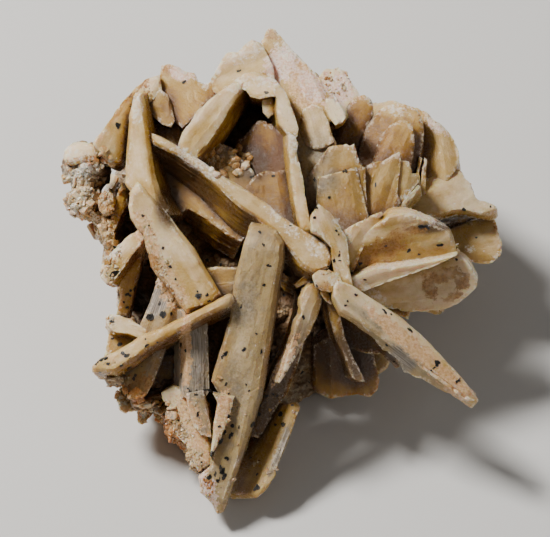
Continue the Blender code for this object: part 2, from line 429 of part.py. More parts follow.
def plate_object(name, outline, thickness, chisel, matrix, collection):
    """A flat outline given a thickness and bevelled edges, then moved into place by the matrix."""
    drawn = bpy.data.curves.new(name, "CURVE")
    drawn.dimensions = "2D"
    drawn.fill_mode = "BOTH"
    drawn.extrude = thickness / 2 - chisel
    drawn.bevel_depth = chisel
    drawn.bevel_resolution = 0
    drawn.offset = -chisel
    spline = drawn.splines.new("POLY")
    spline.points.add(len(outline) - 1)
    for point, (across, along) in zip(spline.points, outline):
        point.co = (across, along, 0, 1)
    spline.use_cyclic_u = True
    curve = placed(name + "_outline", drawn, collection)
    mesh = evaluated_mesh(curve)
    bpy.data.objects.remove(curve)
    mesh.transform(matrix)
    return placed(name, tidied(mesh), collection)


def view_crystal(spec, collection):
    """A blade of the front view: its outline leaned on its plane, its thickness run along its sweep."""
    outline = spec["outline"]
    middle_u = sum(u for u, v in outline) / len(outline)
    middle_v = sum(v for u, v in outline) / len(outline)
    lean_u, lean_v = spec["lean"]
    depth_at_zero = spec["depth"] - lean_u * middle_u - lean_v * middle_v
    sweep = row_vector(*spec["sweep"])
    columns = (row_vector(1, 0, lean_u), row_vector(0, 1, lean_v), -sweep.normalized())
    matrix = Matrix(columns).transposed().to_4x4()
    matrix.translation = row_point(0, 0, depth_at_zero) + sweep / 2
    return plate_object(
        spec["name"], outline, sweep.length, spec["chisel"], Matrix.Scale(MM, 4) @ matrix, collection)


def rim_crystal(index, blade, collection):
    """A blade of the back or sides, broad and straight, with a slanted chisel tip."""
    start, tip, roll, width, thickness = blade
    length = (Vector(tip) - Vector(start)).length
    half = width / 2
    outline = [
        (0, -half), (0.82 * length, -half), (0.97 * length, -0.3 * half), (length, 0.2 * half),
        (0.9 * length, half), (0.25 * length, 1.1 * half), (0, 0.9 * half)]
    along = (Vector(tip) - Vector(start)).normalized()
    level = along.cross(Vector((0, 0, 1))).normalized()
    across = Matrix.Rotation(math.radians(roll), 3, along) @ level
    matrix = Matrix((along, across, along.cross(across))).transposed().to_4x4()
    matrix.translation = Vector(start)
    name = f"rim_blade_{index:02d}"
    return plate_object(
        name, outline, thickness, RIM_CHISEL, Matrix.Scale(MM, 4) @ matrix, collection)


def lump_object(name, middle, axes, radii, collection, roughness=0.3, grain=0.06):
    """A rounded lump with an uneven surface, its radii along the three given axes."""
    shape = bmesh.new()
    bmesh.ops.create_icosphere(shape, subdivisions=4, radius=1)
    for vert in shape.verts:
        spot = sum((axis * (radius * part) for axis, radius, part in zip(axes, radii, vert.co)), Vector())
        place = middle + spot
        swell = 1 + roughness * noise.noise(place * grain) + 0.5 * roughness * noise.noise(place * grain * 3)
        vert.co = (middle + spot * swell) * MM
    mesh = bpy.data.meshes.new(name)
    shape.to_mesh(mesh)
    shape.free()
    return placed(name, mesh, collection)


def fused(pieces, operation, name, helpers, home):
    """The first piece with the others joined to it or cut from it, as one new object."""
    source = bpy.data.collections.new(name + "_pieces")
    helpers.children.link(source)
    source.hide_render = True
    for piece in pieces[1:]:
        source.objects.link(piece)
        helpers.objects.unlink(piece)
    modifier = pieces[0].modifiers.new(operation, "BOOLEAN")
    modifier.operation = operation
    modifier.operand_type = "COLLECTION"
    modifier.collection = source
    modifier.solver = "MANIFOLD"
    mesh = evaluated_mesh(pieces[0])
    pieces[0].modifiers.remove(modifier)
    return placed(name, mesh, home)


def rock_object(helpers):
    """All the lumps run together into one uneven rock, and thinned to broad faces."""
    view_axes = (RIGHT, UP_VIEW, TO_VIEWER)
    own_axes = (Vector((1, 0, 0)), Vector((0, 1, 0)), Vector((0, 0, 1)))
    lumps = []
    for index, (middle, radii) in enumerate(VIEW_LUMPS):
        lumps.append(lump_object(f"view_lump_{index}", row_point(*middle), view_axes, radii, helpers))
    for index, (middle, radii) in enumerate(FOOT_LUMPS):
        lumps.append(lump_object(f"foot_lump_{index}", Vector(middle), own_axes, radii, helpers))
    whole = fused(lumps, "UNION", "rough_rock", helpers, helpers)
    remesh = whole.modifiers.new("run_together", "REMESH")
    remesh.mode = "VOXEL"
    remesh.voxel_size = ROCK_VOXEL * MM
    fewer = whole.modifiers.new("broad_faces", "DECIMATE")
    fewer.ratio = ROCK_FACES_KEPT
    return placed("rock", evaluated_mesh(whole), helpers)


def seat_height(x, y):
    """The height of the surface between matrix and barite, over a point of the floor."""
    curl = SEAT_CURL * max(0, SEAT_CURL_START - x) ** 2
    wave = SEAT_WAVE * noise.noise(Vector((x, y, 0)) * 0.07)
    return SEAT_HEIGHT + SEAT_RISE * y + curl + wave


def seat_block(name, shift, helpers):
    """Everything under the seat surface, as a closed block."""
    shape = bmesh.new()
    bmesh.ops.create_grid(shape, x_segments=SEAT_STEPS, y_segments=SEAT_STEPS, size=SEAT_SPAN / 2)
    for vert in shape.verts:
        vert.co.z = seat_height(vert.co.x, vert.co.y) + shift
    bmesh.ops.triangulate(shape, faces=shape.faces, quad_method="FIXED")
    sides = bmesh.ops.extrude_face_region(shape, geom=list(shape.faces))
    for item in sides["geom"]:
        if isinstance(item, bmesh.types.BMVert):
            item.co.z = -SEAT_SPAN / 2
    bmesh.ops.recalc_face_normals(shape, faces=shape.faces)
    bmesh.ops.scale(shape, vec=(MM, MM, MM), verts=shape.verts)
    mesh = bpy.data.meshes.new(name)
    shape.to_mesh(mesh)
    shape.free()
    return placed(name, mesh, helpers)


def floor_block(helpers):
    """Everything under the surface that the specimen stands on."""
    shape = bmesh.new()
    bmesh.ops.create_cube(shape, size=2 * SEAT_SPAN * MM)
    bmesh.ops.translate(shape, vec=(0, 0, -SEAT_SPAN * MM), verts=shape.verts)
    mesh = bpy.data.meshes.new("floor_block")
    shape.to_mesh(mesh)
    shape.free()
    return placed("floor_block", mesh, helpers)


def copied(obj, name, helpers, growth=0.0):
    """A copy, its corners moved out if asked, to cut room for the original."""
    copy = placed(name, obj.data.copy(), helpers)
    if growth:
        push = copy.modifiers.new("grow", "DISPLACE")
        push.strength = growth * MM
        push.mid_level = 0
    return copy


def material(name, colour, roughness):
    made = bpy.data.materials.new(name)
    made.use_nodes = True
    shader = made.node_tree.nodes["Principled BSDF"]
    shader.inputs["Base Color"].default_value = colour
    shader.inputs["Roughness"].default_value = roughness
    shader.inputs["Metallic"].default_value = 0
    return made


def finished(obj, look):
    """Cleans the solid and gives it its one material."""
    tidied(without_bubbles(obj.data), FLAT_ENOUGH)
    obj.data.materials.clear()
    obj.data.materials.append(look)


def main():
    for obj in list(bpy.data.objects):
        bpy.data.objects.remove(obj)
    specimen = collection_named("barite_specimen", shown=True)
    helpers = collection_named("barite_cutters", shown=False)

    crystals = [view_crystal(spec, helpers) for spec in ALL_CRYSTALS]
    crystals += [rim_crystal(index, blade, helpers) for index, blade in enumerate(RIM_BLADES)]
    rooms = [copied(blade, blade.name + "_room", helpers, SEAT_GROWTH) for blade in crystals]
    rock = rock_object(helpers)

    over_seat = [copied(rock, "rock_over_seat", helpers), seat_block("seat_top", SEAT_GAP / 2, helpers)]
    root = fused(over_seat, "DIFFERENCE", "root_mass", helpers, helpers)
    blades = fused([root] + crystals, "UNION", "blade_crystals", helpers, specimen)
    finished(blades, material("barite", BARITE_COLOUR, 0.4))

    under_seat = [rock, seat_block("seat_bottom", -SEAT_GAP / 2, helpers)]
    crust = fused(under_seat, "INTERSECT", "crust", helpers, helpers)
    cutters = [crust, floor_block(helpers)] + rooms
    matrix = fused(cutters, "DIFFERENCE", "matrix", helpers, specimen)
    finished(matrix, material("matrix_crust", MATRIX_COLOUR, 0.8))


main()
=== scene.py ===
"""Barite specimen: the look of its blades, its crust and its rock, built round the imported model.

Every blade is a flat-faced prism, laid out as in the part's source. Its leading face lies in the
front view, which looks down on the specimen: u runs to the right, v up the view and w towards the
viewer, in millimetres from the middle of the view.
"""

import math

import bmesh
import bpy
import numpy as np
from mathutils import Matrix, Vector, noise
from mathutils.bvhtree import BVHTree


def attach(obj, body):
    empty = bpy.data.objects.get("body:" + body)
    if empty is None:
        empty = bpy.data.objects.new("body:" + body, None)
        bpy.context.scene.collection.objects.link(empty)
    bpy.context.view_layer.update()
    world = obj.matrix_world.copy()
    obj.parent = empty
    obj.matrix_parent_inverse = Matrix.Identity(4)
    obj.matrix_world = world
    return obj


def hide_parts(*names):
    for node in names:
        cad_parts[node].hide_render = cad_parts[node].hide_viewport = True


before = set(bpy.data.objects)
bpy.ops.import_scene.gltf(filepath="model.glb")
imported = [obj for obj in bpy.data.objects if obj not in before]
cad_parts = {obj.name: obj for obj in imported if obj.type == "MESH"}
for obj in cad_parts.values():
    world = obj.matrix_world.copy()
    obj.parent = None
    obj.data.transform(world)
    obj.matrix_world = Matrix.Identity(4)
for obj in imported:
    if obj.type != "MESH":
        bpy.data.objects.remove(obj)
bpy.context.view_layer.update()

MM = 0.001
PIXEL = 0.225
VIEW_WIDTH = 550
VIEW_ELEVATION = math.radians(55)
# The camera's distance in metres, and the width of its sensor in millimetres.
CAMERA_AWAY = 2.0
SENSOR_WIDTH = 36
# The middle of the ground under the specimen, from the middle of the front view.
FOOT = Vector((1.0, 5.0, -37.0))

RIGHT = Vector((1, 0, 0))
UP_VIEW = Vector((0, math.sin(VIEW_ELEVATION), math.cos(VIEW_ELEVATION)))
TO_VIEWER = Vector((0, -math.cos(VIEW_ELEVATION), math.sin(VIEW_ELEVATION)))

# The cells that a blade's faces are cut into, along and across it, and through its thickness.
CELL = 0.6
LAYER = 0.55
# The grain of the rock.
ROCK_VOXEL = 0.9
# How far shelter is felt, in millimetres, and along how many directions it is sought.
SHELTER_REACH = 16.0
SHELTER_WAYS = 24
# How far out the rays start that look for the surface, how far above it those start that look for
# shelter, and the least share of its slant at which one of them counts.
RAY_START = 60
RAY_LIFT = 0.3
RAY_FACING = 0.2
# The way, close to the key light's, that the painted light comes from: faces turned towards it are painted
# paler, as if lit, and faces turned away are painted amber, as if in shade.
PAINTED_LIGHT_FROM = (-0.5, 0.35, 0.75)
# The angle between two faces, in radians, from which their edge is painted pale, as frosted wear and as an
# edge highlight, and how much more makes it fully so.
SHARP_EDGE = 0.5
SHARP_RANGE = 0.5
# Faces that meet at less than this are shaded as one.
SMOOTH_ANGLE = math.radians(14)
# How many points a rounded crystal and a broken grain are drawn with, and the least height above
# the ground at which a grain sits on the sides.
LOBE_POINTS = 30
GRAIN_POINTS = 14
LOWEST_GRAIN = 1.5
# How many shards make one black fleck, how many corners each has, and how far they stand proud of
# the face and reach into it.
FLECK_SHARDS = 4
SHARD_CORNERS = 6
FLECK_TOP = 0.08
FLECK_ROOT = 0.35


def row_vector(u, v, w):
    """A direction of the front view, in the frame of the specimen."""
    return RIGHT * u + UP_VIEW * v + TO_VIEWER * w


def row_point(u, v, w):
    """A point of the front view, in the frame of the specimen."""
    return row_vector(u, v, w) - FOOT


def crystal(name, outline, depth, lean, sweep, chisel=0.0):
    """One blade: its leading face's outline, the face's depth at the outline's middle, how the
    depth changes across and up the view, the way and distance that the blade runs back, and how
    far its edges are bevelled."""
    return {"name": name, "outline": outline, "depth": depth, "lean": lean, "sweep": sweep,
            "chisel": chisel}


LONG_BLADES = [
    crystal("long_diagonal", chisel=0.5, depth=1.5, lean=(-0.02, -0.35), sweep=(-4, -6, -14), outline=[
        (-29, 31.8), (-24, 29), (-20.5, 27), (-16, 24.2), (-10, 20), (-4.5, 16.8), (-1, 14.5),
        (1.5, 12), (4, 10.2), (8, 8.2), (11.8, 5.8), (13, 2.5), (12, 0.2), (9, -0.8), (6, 1),
        (2.5, 5), (0, 8.3), (-4, 11.3), (-8, 14), (-12, 18), (-17, 22.3), (-22, 25.6), (-27, 28)]),
    crystal("long_upright", chisel=0.8, depth=3.8, lean=(0.12, 0.08), sweep=(0.8, 1, -6), outline=[
        (-6, 9.6), (-2.5, 9), (0, 8), (1.7, 5.5), (1.7, 2), (0.8, -3), (0, -9), (-1.7, -19),
        (-3.3, -29), (-5.5, -36), (-8, -44), (-10, -49.5), (-11.8, -55), (-13.3, -55.6),
        (-14.5, -53), (-17, -50.5), (-17.4, -47), (-14.8, -44.5), (-14, -38), (-12.9, -28),
        (-14.5, -25.5), (-12.3, -18), (-10.2, -10.5), (-9.5, -4), (-7.5, 4)]),
    crystal("crusted_diagonal", chisel=0.8, depth=2.5, lean=(0.05, -0.06), sweep=(0.5, -1, -7), outline=[
        (-32.5, 17.5), (-33, 14), (-32.5, 11.5), (-31, 9.2), (-29.7, 8.2), (-29, 5), (-28, 1),
        (-27, -0.8), (-25.3, -2.5), (-23, -5.5), (-20, -9.8), (-14, -8.5), (-12, -5.8),
        (-14, -2.5), (-16.2, 1), (-18, 4.5), (-20.5, 7.5), (-24, 12), (-27, 15.5), (-31, 19.8)]),
    crystal("left_upright", chisel=0.8, depth=-2, lean=(0.2, -0.15), sweep=(3, 0, -11), outline=[
        (-31.8, 39.6), (-30, 39.6), (-29.3, 36), (-28.5, 31), (-28, 26), (-27.3, 21.5),
        (-26, 17), (-23.5, 12), (-27, 12), (-31, 15), (-34.1, 19), (-33.8, 25), (-33.2, 31),
        (-33, 34.5)]),
    crystal("left_thin_diagonal", chisel=0.8, depth=4, lean=(0.35, -0.25), sweep=(1.5, -2, -9), outline=[
        (-41.3, -23), (-41.2, -21.6), (-39.5, -20), (-36, -18.4), (-33, -16.7), (-30, -14.5),
        (-26, -13.2), (-22, -11.1), (-18, -9.2), (-14, -7.2), (-10, -5), (-9.3, -6.5),
        (-10, -8.2), (-13, -9.6), (-16, -11), (-20, -13.2), (-24, -15.5), (-28, -17.7),
        (-31, -20.2), (-33.5, -21.8), (-36, -23.4)]),
    crystal("great_spear", chisel=0.4, depth=8, lean=(-0.22, -0.12), sweep=(-0.8, -1.2, -5), outline=[
        (14, -2.5), (17.3, -3.5), (20, -5.5), (24, -8), (28, -10.6), (32, -13.8), (34.2, -15.8),
        (38, -20), (42, -24.4), (45.9, -29.2), (44.8, -30.3), (40, -27), (35, -23.3), (30, -19.8),
        (26, -17), (22, -14), (18, -11), (15, -9.2), (13.2, -6), (13.2, -4)]),
    crystal("spear_keel", depth=6.2, lean=(0.6, 0.95), sweep=(1, 2, -4), outline=[
        (18, -11), (22, -14), (26, -17), (30, -19.8), (35, -23.3), (40, -27), (44.5, -30),
        (42, -29.8), (37, -27.2), (34, -25.4), (31, -24.2), (28.8, -23.3), (28.2, -21.8),
        (27, -20), (24, -18.2), (21, -14.5)]),
    crystal("lower_keel", chisel=0.8, depth=-1.5, lean=(0.1, -0.05), sweep=(-7, -0.5, -6.5), outline=[
        (6, -30), (4, -30.5), (2.5, -34), (0.7, -39), (-1.3, -43.5), (-3, -47.5),
        (-4.6, -50.5), (-3.3, -51.6), (-1, -49.2), (0.8, -46.7), (1.3, -44.5), (2.6, -41.3),
        (4, -38), (5.5, -34), (6.5, -31)]),
    crystal("slim_leaf", depth=4.5, lean=(-0.25, 0.15), sweep=(-1.1, 0.1, -3), outline=[
        (8.5, -3.3), (10.2, -4.5), (10.8, -7.5), (9.6, -11), (8, -14.2), (6, -17.7),
        (4.5, -20.2), (3, -22.7), (1.2, -25.8), (0.8, -25.5), (2, -22.3), (3.1, -19),
        (4.1, -15.5), (5.1, -11.6), (6, -10.3), (6.1, -6.8), (7.2, -4.3)]),
    crystal("bent_leaf", depth=6, lean=(-0.15, -0.15), sweep=(-1, -1.5, -10), outline=[
        (8, 10.3), (8.3, 12.3), (9.8, 14.5), (12.5, 12.7), (14.5, 10), (16.2, 7), (16.7, 3),
        (16.8, -0.5), (17.5, -3.8), (14.5, -4), (13.3, -1.5), (12.8, 2), (12.5, 4.8),
        (10.5, 7), (8.3, 8.3)]),
    crystal("curved_edge", depth=1, lean=(0.1, -0.1), sweep=(-1.5, -0.5, -11), outline=[
        (3, 30.5), (4.6, 29.8), (5.3, 28), (4.9, 26.3), (5.6, 23.5), (6.3, 20.3), (6.8, 16.5),
        (7.6, 12.5), (8.3, 9), (8, 7), (5.8, 7.5), (5, 11.5), (4.3, 15), (3.8, 19), (3.3, 23),
        (3, 27)]),
]

LEFT_BLADES = [
    crystal("left_stub", depth=-1.5, lean=(0.15, -0.3), sweep=(1.5, -1, -7), outline=[
        (-39.6, -1.3), (-39.2, 0.4), (-37.5, 3), (-35.5, 5.2), (-33, 7.4), (-30, 9.2),
        (-29.3, 7), (-30.5, 5), (-32.3, 2.8), (-34.5, -0.5), (-36.5, -3.2), (-38.3, -3.3)]),
    crystal("left_back_leaf", depth=-6, lean=(-0.3, 0.05), sweep=(0.5, 0, -5), outline=[
        (-35.5, -2), (-33.5, 1), (-31, 6), (-29.6, 5), (-30.3, 1), (-31.5, -4), (-32.3, -8),
        (-33, -11.3), (-36, -10.8), (-35, -6.5)]),
    crystal("striated_slab", depth=-2.5, lean=(0.1, -0.05), sweep=(0.5, 1, -7), outline=[
        (-26.3, -1.5), (-23, -4.5), (-20, -9), (-19.5, -12), (-22, -14), (-24.5, -18),
        (-26, -22), (-27.5, -26), (-29, -28.6), (-30.7, -29.7), (-33, -28.8), (-35.3, -25.5),
        (-35.5, -23.5), (-33, -19), (-30.5, -13), (-28.8, -9), (-27.5, -5.5)]),
    crystal("grey_block", depth=0.5, lean=(-0.1, 0.05), sweep=(-2.8, -0.5, -6), outline=[
        (-20.3, -9), (-15, -8), (-14.9, -14), (-14.7, -20), (-14.6, -27.5), (-15.5, -29),
        (-20, -29), (-20, -20), (-20.2, -14)]),
    crystal("grey_spur", depth=0.6, lean=(0, 0), sweep=(0, 0.5, -5), outline=[
        (-20, -28), (-16, -27.5), (-15.5, -30), (-14.5, -35), (-14.3, -38), (-16.5, -37.5),
        (-18.7, -35), (-19.5, -31)]),
    crystal("low_chunk", depth=-1.5, lean=(0.15, -0.1), sweep=(1, 1, -7), outline=[
        (-22.9, -26.4), (-25.7, -28), (-25.4, -30), (-23.6, -30.7), (-23.4, -33.6),
        (-22.3, -37.5), (-20, -39.7), (-19.1, -42.4), (-17.8, -44.4), (-17.6, -45.6),
        (-14.5, -44), (-14.3, -38), (-15.5, -31), (-18.5, -28)]),
    crystal("raised_slab", depth=3.9, lean=(0.12, 0.08), sweep=(0, 0.4, -3), outline=[
        (-14, -28), (-9, -28.7), (-10.1, -33), (-11.7, -36.8), (-13.1, -39.9), (-14.6, -42.6),
        (-14.2, -39.9), (-13.5, -34.1), (-12.8, -30.2)]),
    crystal("left_lower_block", depth=-2, lean=(0.1, -0.4), sweep=(0, -2, -7), outline=[
        (-38.2, -11), (-37.2, -10.2), (-35, -10.4), (-31.5, -12), (-28.5, -14), (-29.5, -16),
        (-33, -14.6), (-36, -14.3), (-37.4, -13.6)]),
    crystal("left_lower_leaf", depth=-5, lean=(0, -0.2), sweep=(0.5, -1, -6), outline=[
        (-37.3, -13.5), (-33, -13.5), (-31, -17), (-34, -19.8), (-38.6, -19.8), (-37.9, -17)]),
    crystal("inner_left", depth=-6, lean=(-0.3, -0.1), sweep=(1, 0, -8), outline=[
        (-38.2, 7), (-37.2, 11), (-36, 15.5), (-34.5, 19.3), (-33, 17.5), (-33.1, 14.5),
        (-34.8, 11.8), (-36.3, 8.3), (-36.2, 5.5), (-37.8, 2.5), (-38.4, 4.5)]),
    crystal("left_wall", depth=-7, lean=(-0.5, -0.35), sweep=(0.5, -2, -8), outline=[
        (-41.5, 28.2), (-39, 30.8), (-37, 33.8), (-35.5, 36.2), (-33.5, 38.6), (-31.5, 40.8),
        (-29.5, 42.6), (-28, 43), (-29.5, 38), (-32.5, 34), (-33.2, 30), (-34, 24),
        (-37, 24), (-39.5, 26.5)]),
    crystal("left_rim", depth=-9, lean=(0, -0.3), sweep=(0, -2, -8), outline=[
        (-31.5, 40.3), (-29.5, 42.7), (-28, 43.3), (-26, 43.8), (-25.5, 40), (-28, 37.5),
        (-30.5, 38)]),
    crystal("white_tooth", depth=-9, lean=(0.1, 0), sweep=(1, 3, -4), outline=[
        (-35.9, -29.5), (-34.9, -27.3), (-32, -27), (-31.3, -32.4), (-33, -32.6),
        (-35.2, -31.6)]),
    crystal("twin_teeth", depth=-9, lean=(-0.1, 0), sweep=(0.5, 3, -4), outline=[
        (-31.1, -31), (-29.8, -29.5), (-27.8, -29.5), (-27.3, -32.3), (-29, -34.4),
        (-30.2, -35.3), (-31.1, -34.8)]),
    crystal("small_shelf", depth=-1.5, lean=(0, -0.2), sweep=(0, -2, -6), outline=[
        (-15.4, 0.3), (-13, 0.5), (-11, 0.3), (-7, 0.3), (-7.5, -3), (-10, -6), (-14, -6),
        (-14.8, -3)]),
]

TOP_BLADES = [
    crystal("lower_parallel", depth=-9, lean=(-0.05, -0.3), sweep=(-2, -4, -8), outline=[
        (-28.2, 24.3), (-26, 23), (-22.3, 20.8), (-20, 19), (-17, 16.8), (-13.8, 13.2),
        (-12.5, 11.6), (-10, 10.2), (-8, 9.4), (-6.3, 8), (-7.5, 6), (-12, 8.5), (-16, 11.5),
        (-19.5, 13.5), (-22.5, 12), (-26.5, 13.5), (-27.8, 19)]),
    crystal("arch_leaf", depth=-4.5, lean=(-0.05, -0.25), sweep=(2.8, -1.2, -9), outline=[
        (-21.8, 28), (-21, 30.5), (-19.3, 33), (-17.5, 35.7), (-15, 38), (-12, 40.2),
        (-9.5, 42), (-7.5, 42), (-7.5, 40.2), (-9, 38), (-10.5, 35.7), (-12, 33),
        (-13.8, 30.3), (-15.8, 27.5), (-17.3, 25.3), (-19, 24), (-22, 26)]),
    crystal("arch_top", depth=-7, lean=(0.1, -0.5), sweep=(0.5, -2, -12), outline=[
        (-8.7, 42.4), (-7, 44), (-5, 44.5), (-2, 43.7), (0.2, 42.5), (1.8, 40.5), (1, 38.4),
        (-0.5, 38.8), (-3.5, 38.2), (-5.5, 38.7), (-6.5, 40), (-7.6, 40.5)]),
    crystal("tan_shoulder", depth=-4, lean=(0.05, -0.3), sweep=(-2, -1, -12), outline=[
        (0.3, 38.5), (0.5, 35), (1, 32.5), (3, 30), (5, 29.5), (5.3, 31.5), (4.3, 35),
        (3.2, 38), (2, 40.5), (0, 41.5), (-0.5, 40)]),
    crystal("hanging_tooth", depth=-7, lean=(0, 0), sweep=(0, 2, -5), outline=[
        (-2.5, 39.5), (-0.8, 39.5), (0.1, 36.5), (-0.2, 34.6), (-1.5, 33.8), (-2.7, 35),
        (-3, 37)]),
    crystal("top_plate", depth=-13, lean=(0, -0.5), sweep=(1, -4, -14), outline=[
        (-14.5, 42.8), (-13.5, 44.5), (-12.5, 46.5), (-11.2, 48.5), (-10.7, 49), (-8.5, 49),
        (-7, 50.5), (-5.2, 51.9), (-3.3, 51.2), (-2, 49), (-0.5, 46), (0, 41), (-5, 40),
        (-10, 38), (-14, 40)]),
    crystal("summit_ridge", depth=-12, lean=(0.05, -0.45), sweep=(-1, -4, -14), outline=[
        (-2.5, 52.3), (-2, 53.8), (-1.3, 54.6), (0, 54.3), (1.5, 52.5), (3.5, 50), (7.5, 46),
        (10, 43.5), (12, 41.2), (14, 39), (15, 37.2), (15, 35), (12.4, 33), (12.6, 30.5),
        (14, 28.5), (13, 24), (9, 19), (6, 20), (4.6, 26), (4.5, 32), (3.5, 36), (1, 40),
        (-2, 45), (-3.2, 50.5)]),
    crystal("summit_step", depth=-9.8, lean=(0, -0.3), sweep=(0, -1, -5), outline=[
        (11.5, 38.5), (13.5, 38.1), (15, 37.2), (15.9, 35.4), (14.5, 34.6), (13.3, 33.2),
        (11.8, 33.2), (11.2, 36)]),
    crystal("summit_patch", depth=-11.6, lean=(0.05, -0.4), sweep=(0, -1, -4), outline=[
        (5.8, 41.5), (8.5, 41.3), (9.6, 39.5), (8.7, 37), (7, 36.2), (5.7, 38)]),
    crystal("pink_lump", depth=-21, lean=(0, -0.4), sweep=(0, -5, -10), outline=[
        (10, 43.8), (11.5, 45.5), (13.2, 45.3), (14.4, 45.9), (16.2, 44.7), (17.3, 42.4),
        (19.2, 39.8), (19, 36), (15, 33), (10, 38)]),
    crystal("upper_left_block", depth=-11, lean=(0, -0.45), sweep=(0.5, -4, -12), outline=[
        (-27, 43.2), (-26, 43.8), (-25.7, 46), (-24, 46.3), (-22, 45.7), (-20.2, 44.6),
        (-18.1, 44.3), (-17.5, 42.3), (-16, 41.8), (-13, 42.5), (-13, 39.5), (-16.5, 36.5),
        (-19, 33.5), (-21, 32), (-23, 34), (-24.5, 38), (-27, 40)]),
    crystal("upper_left_tooth", depth=-8, lean=(0.1, -0.2), sweep=(0.5, -1, -9), outline=[
        (-28.4, 36.5), (-27.6, 39.4), (-26, 40.6), (-24.3, 39.3), (-23.3, 37), (-22.5, 33.5),
        (-23.5, 31.8), (-25.5, 32.5), (-27.8, 34.5)]),
    crystal("shaded_teeth", depth=-11, lean=(0, -0.2), sweep=(0, -1, -8), outline=[
        (-27.5, 34), (-24, 33.5), (-21, 34), (-19, 31.5), (-21.5, 27), (-24, 26), (-28, 29)]),
    crystal("amber_window", depth=-10, lean=(0.35, -0.1), sweep=(0.5, -1.5, -5), outline=[
        (-3.8, 33.6), (-1.5, 33), (0.8, 31.9), (3, 30.5), (4, 26), (3.5, 20), (0, 17),
        (-6, 18), (-9, 23), (-9.5, 28), (-7, 30.2), (-5.5, 31.8)]),
    crystal("dull_cluster", depth=-9, lean=(0, -0.2), sweep=(0.5, -3, -8), outline=[
        (-16.8, 25.5), (-15.5, 28), (-13, 28.5), (-11, 28.1), (-9.4, 27), (-8.7, 25.4),
        (-7.6, 24.7), (-6, 23.3), (-4.8, 22), (-4.5, 20.5), (-6, 14), (-12, 14), (-16, 19)]),
    crystal("shaded_leaf", depth=-6, lean=(0.1, -0.15), sweep=(0, -2, -6), outline=[
        (-5, 20.5), (-3.5, 21.6), (-1.5, 22.1), (0, 21.7), (3.2, 23.2), (4.2, 19), (5.2, 12),
        (4.5, 7), (0, 6), (-6, 9), (-8.5, 15), (-6.5, 19)]),
]

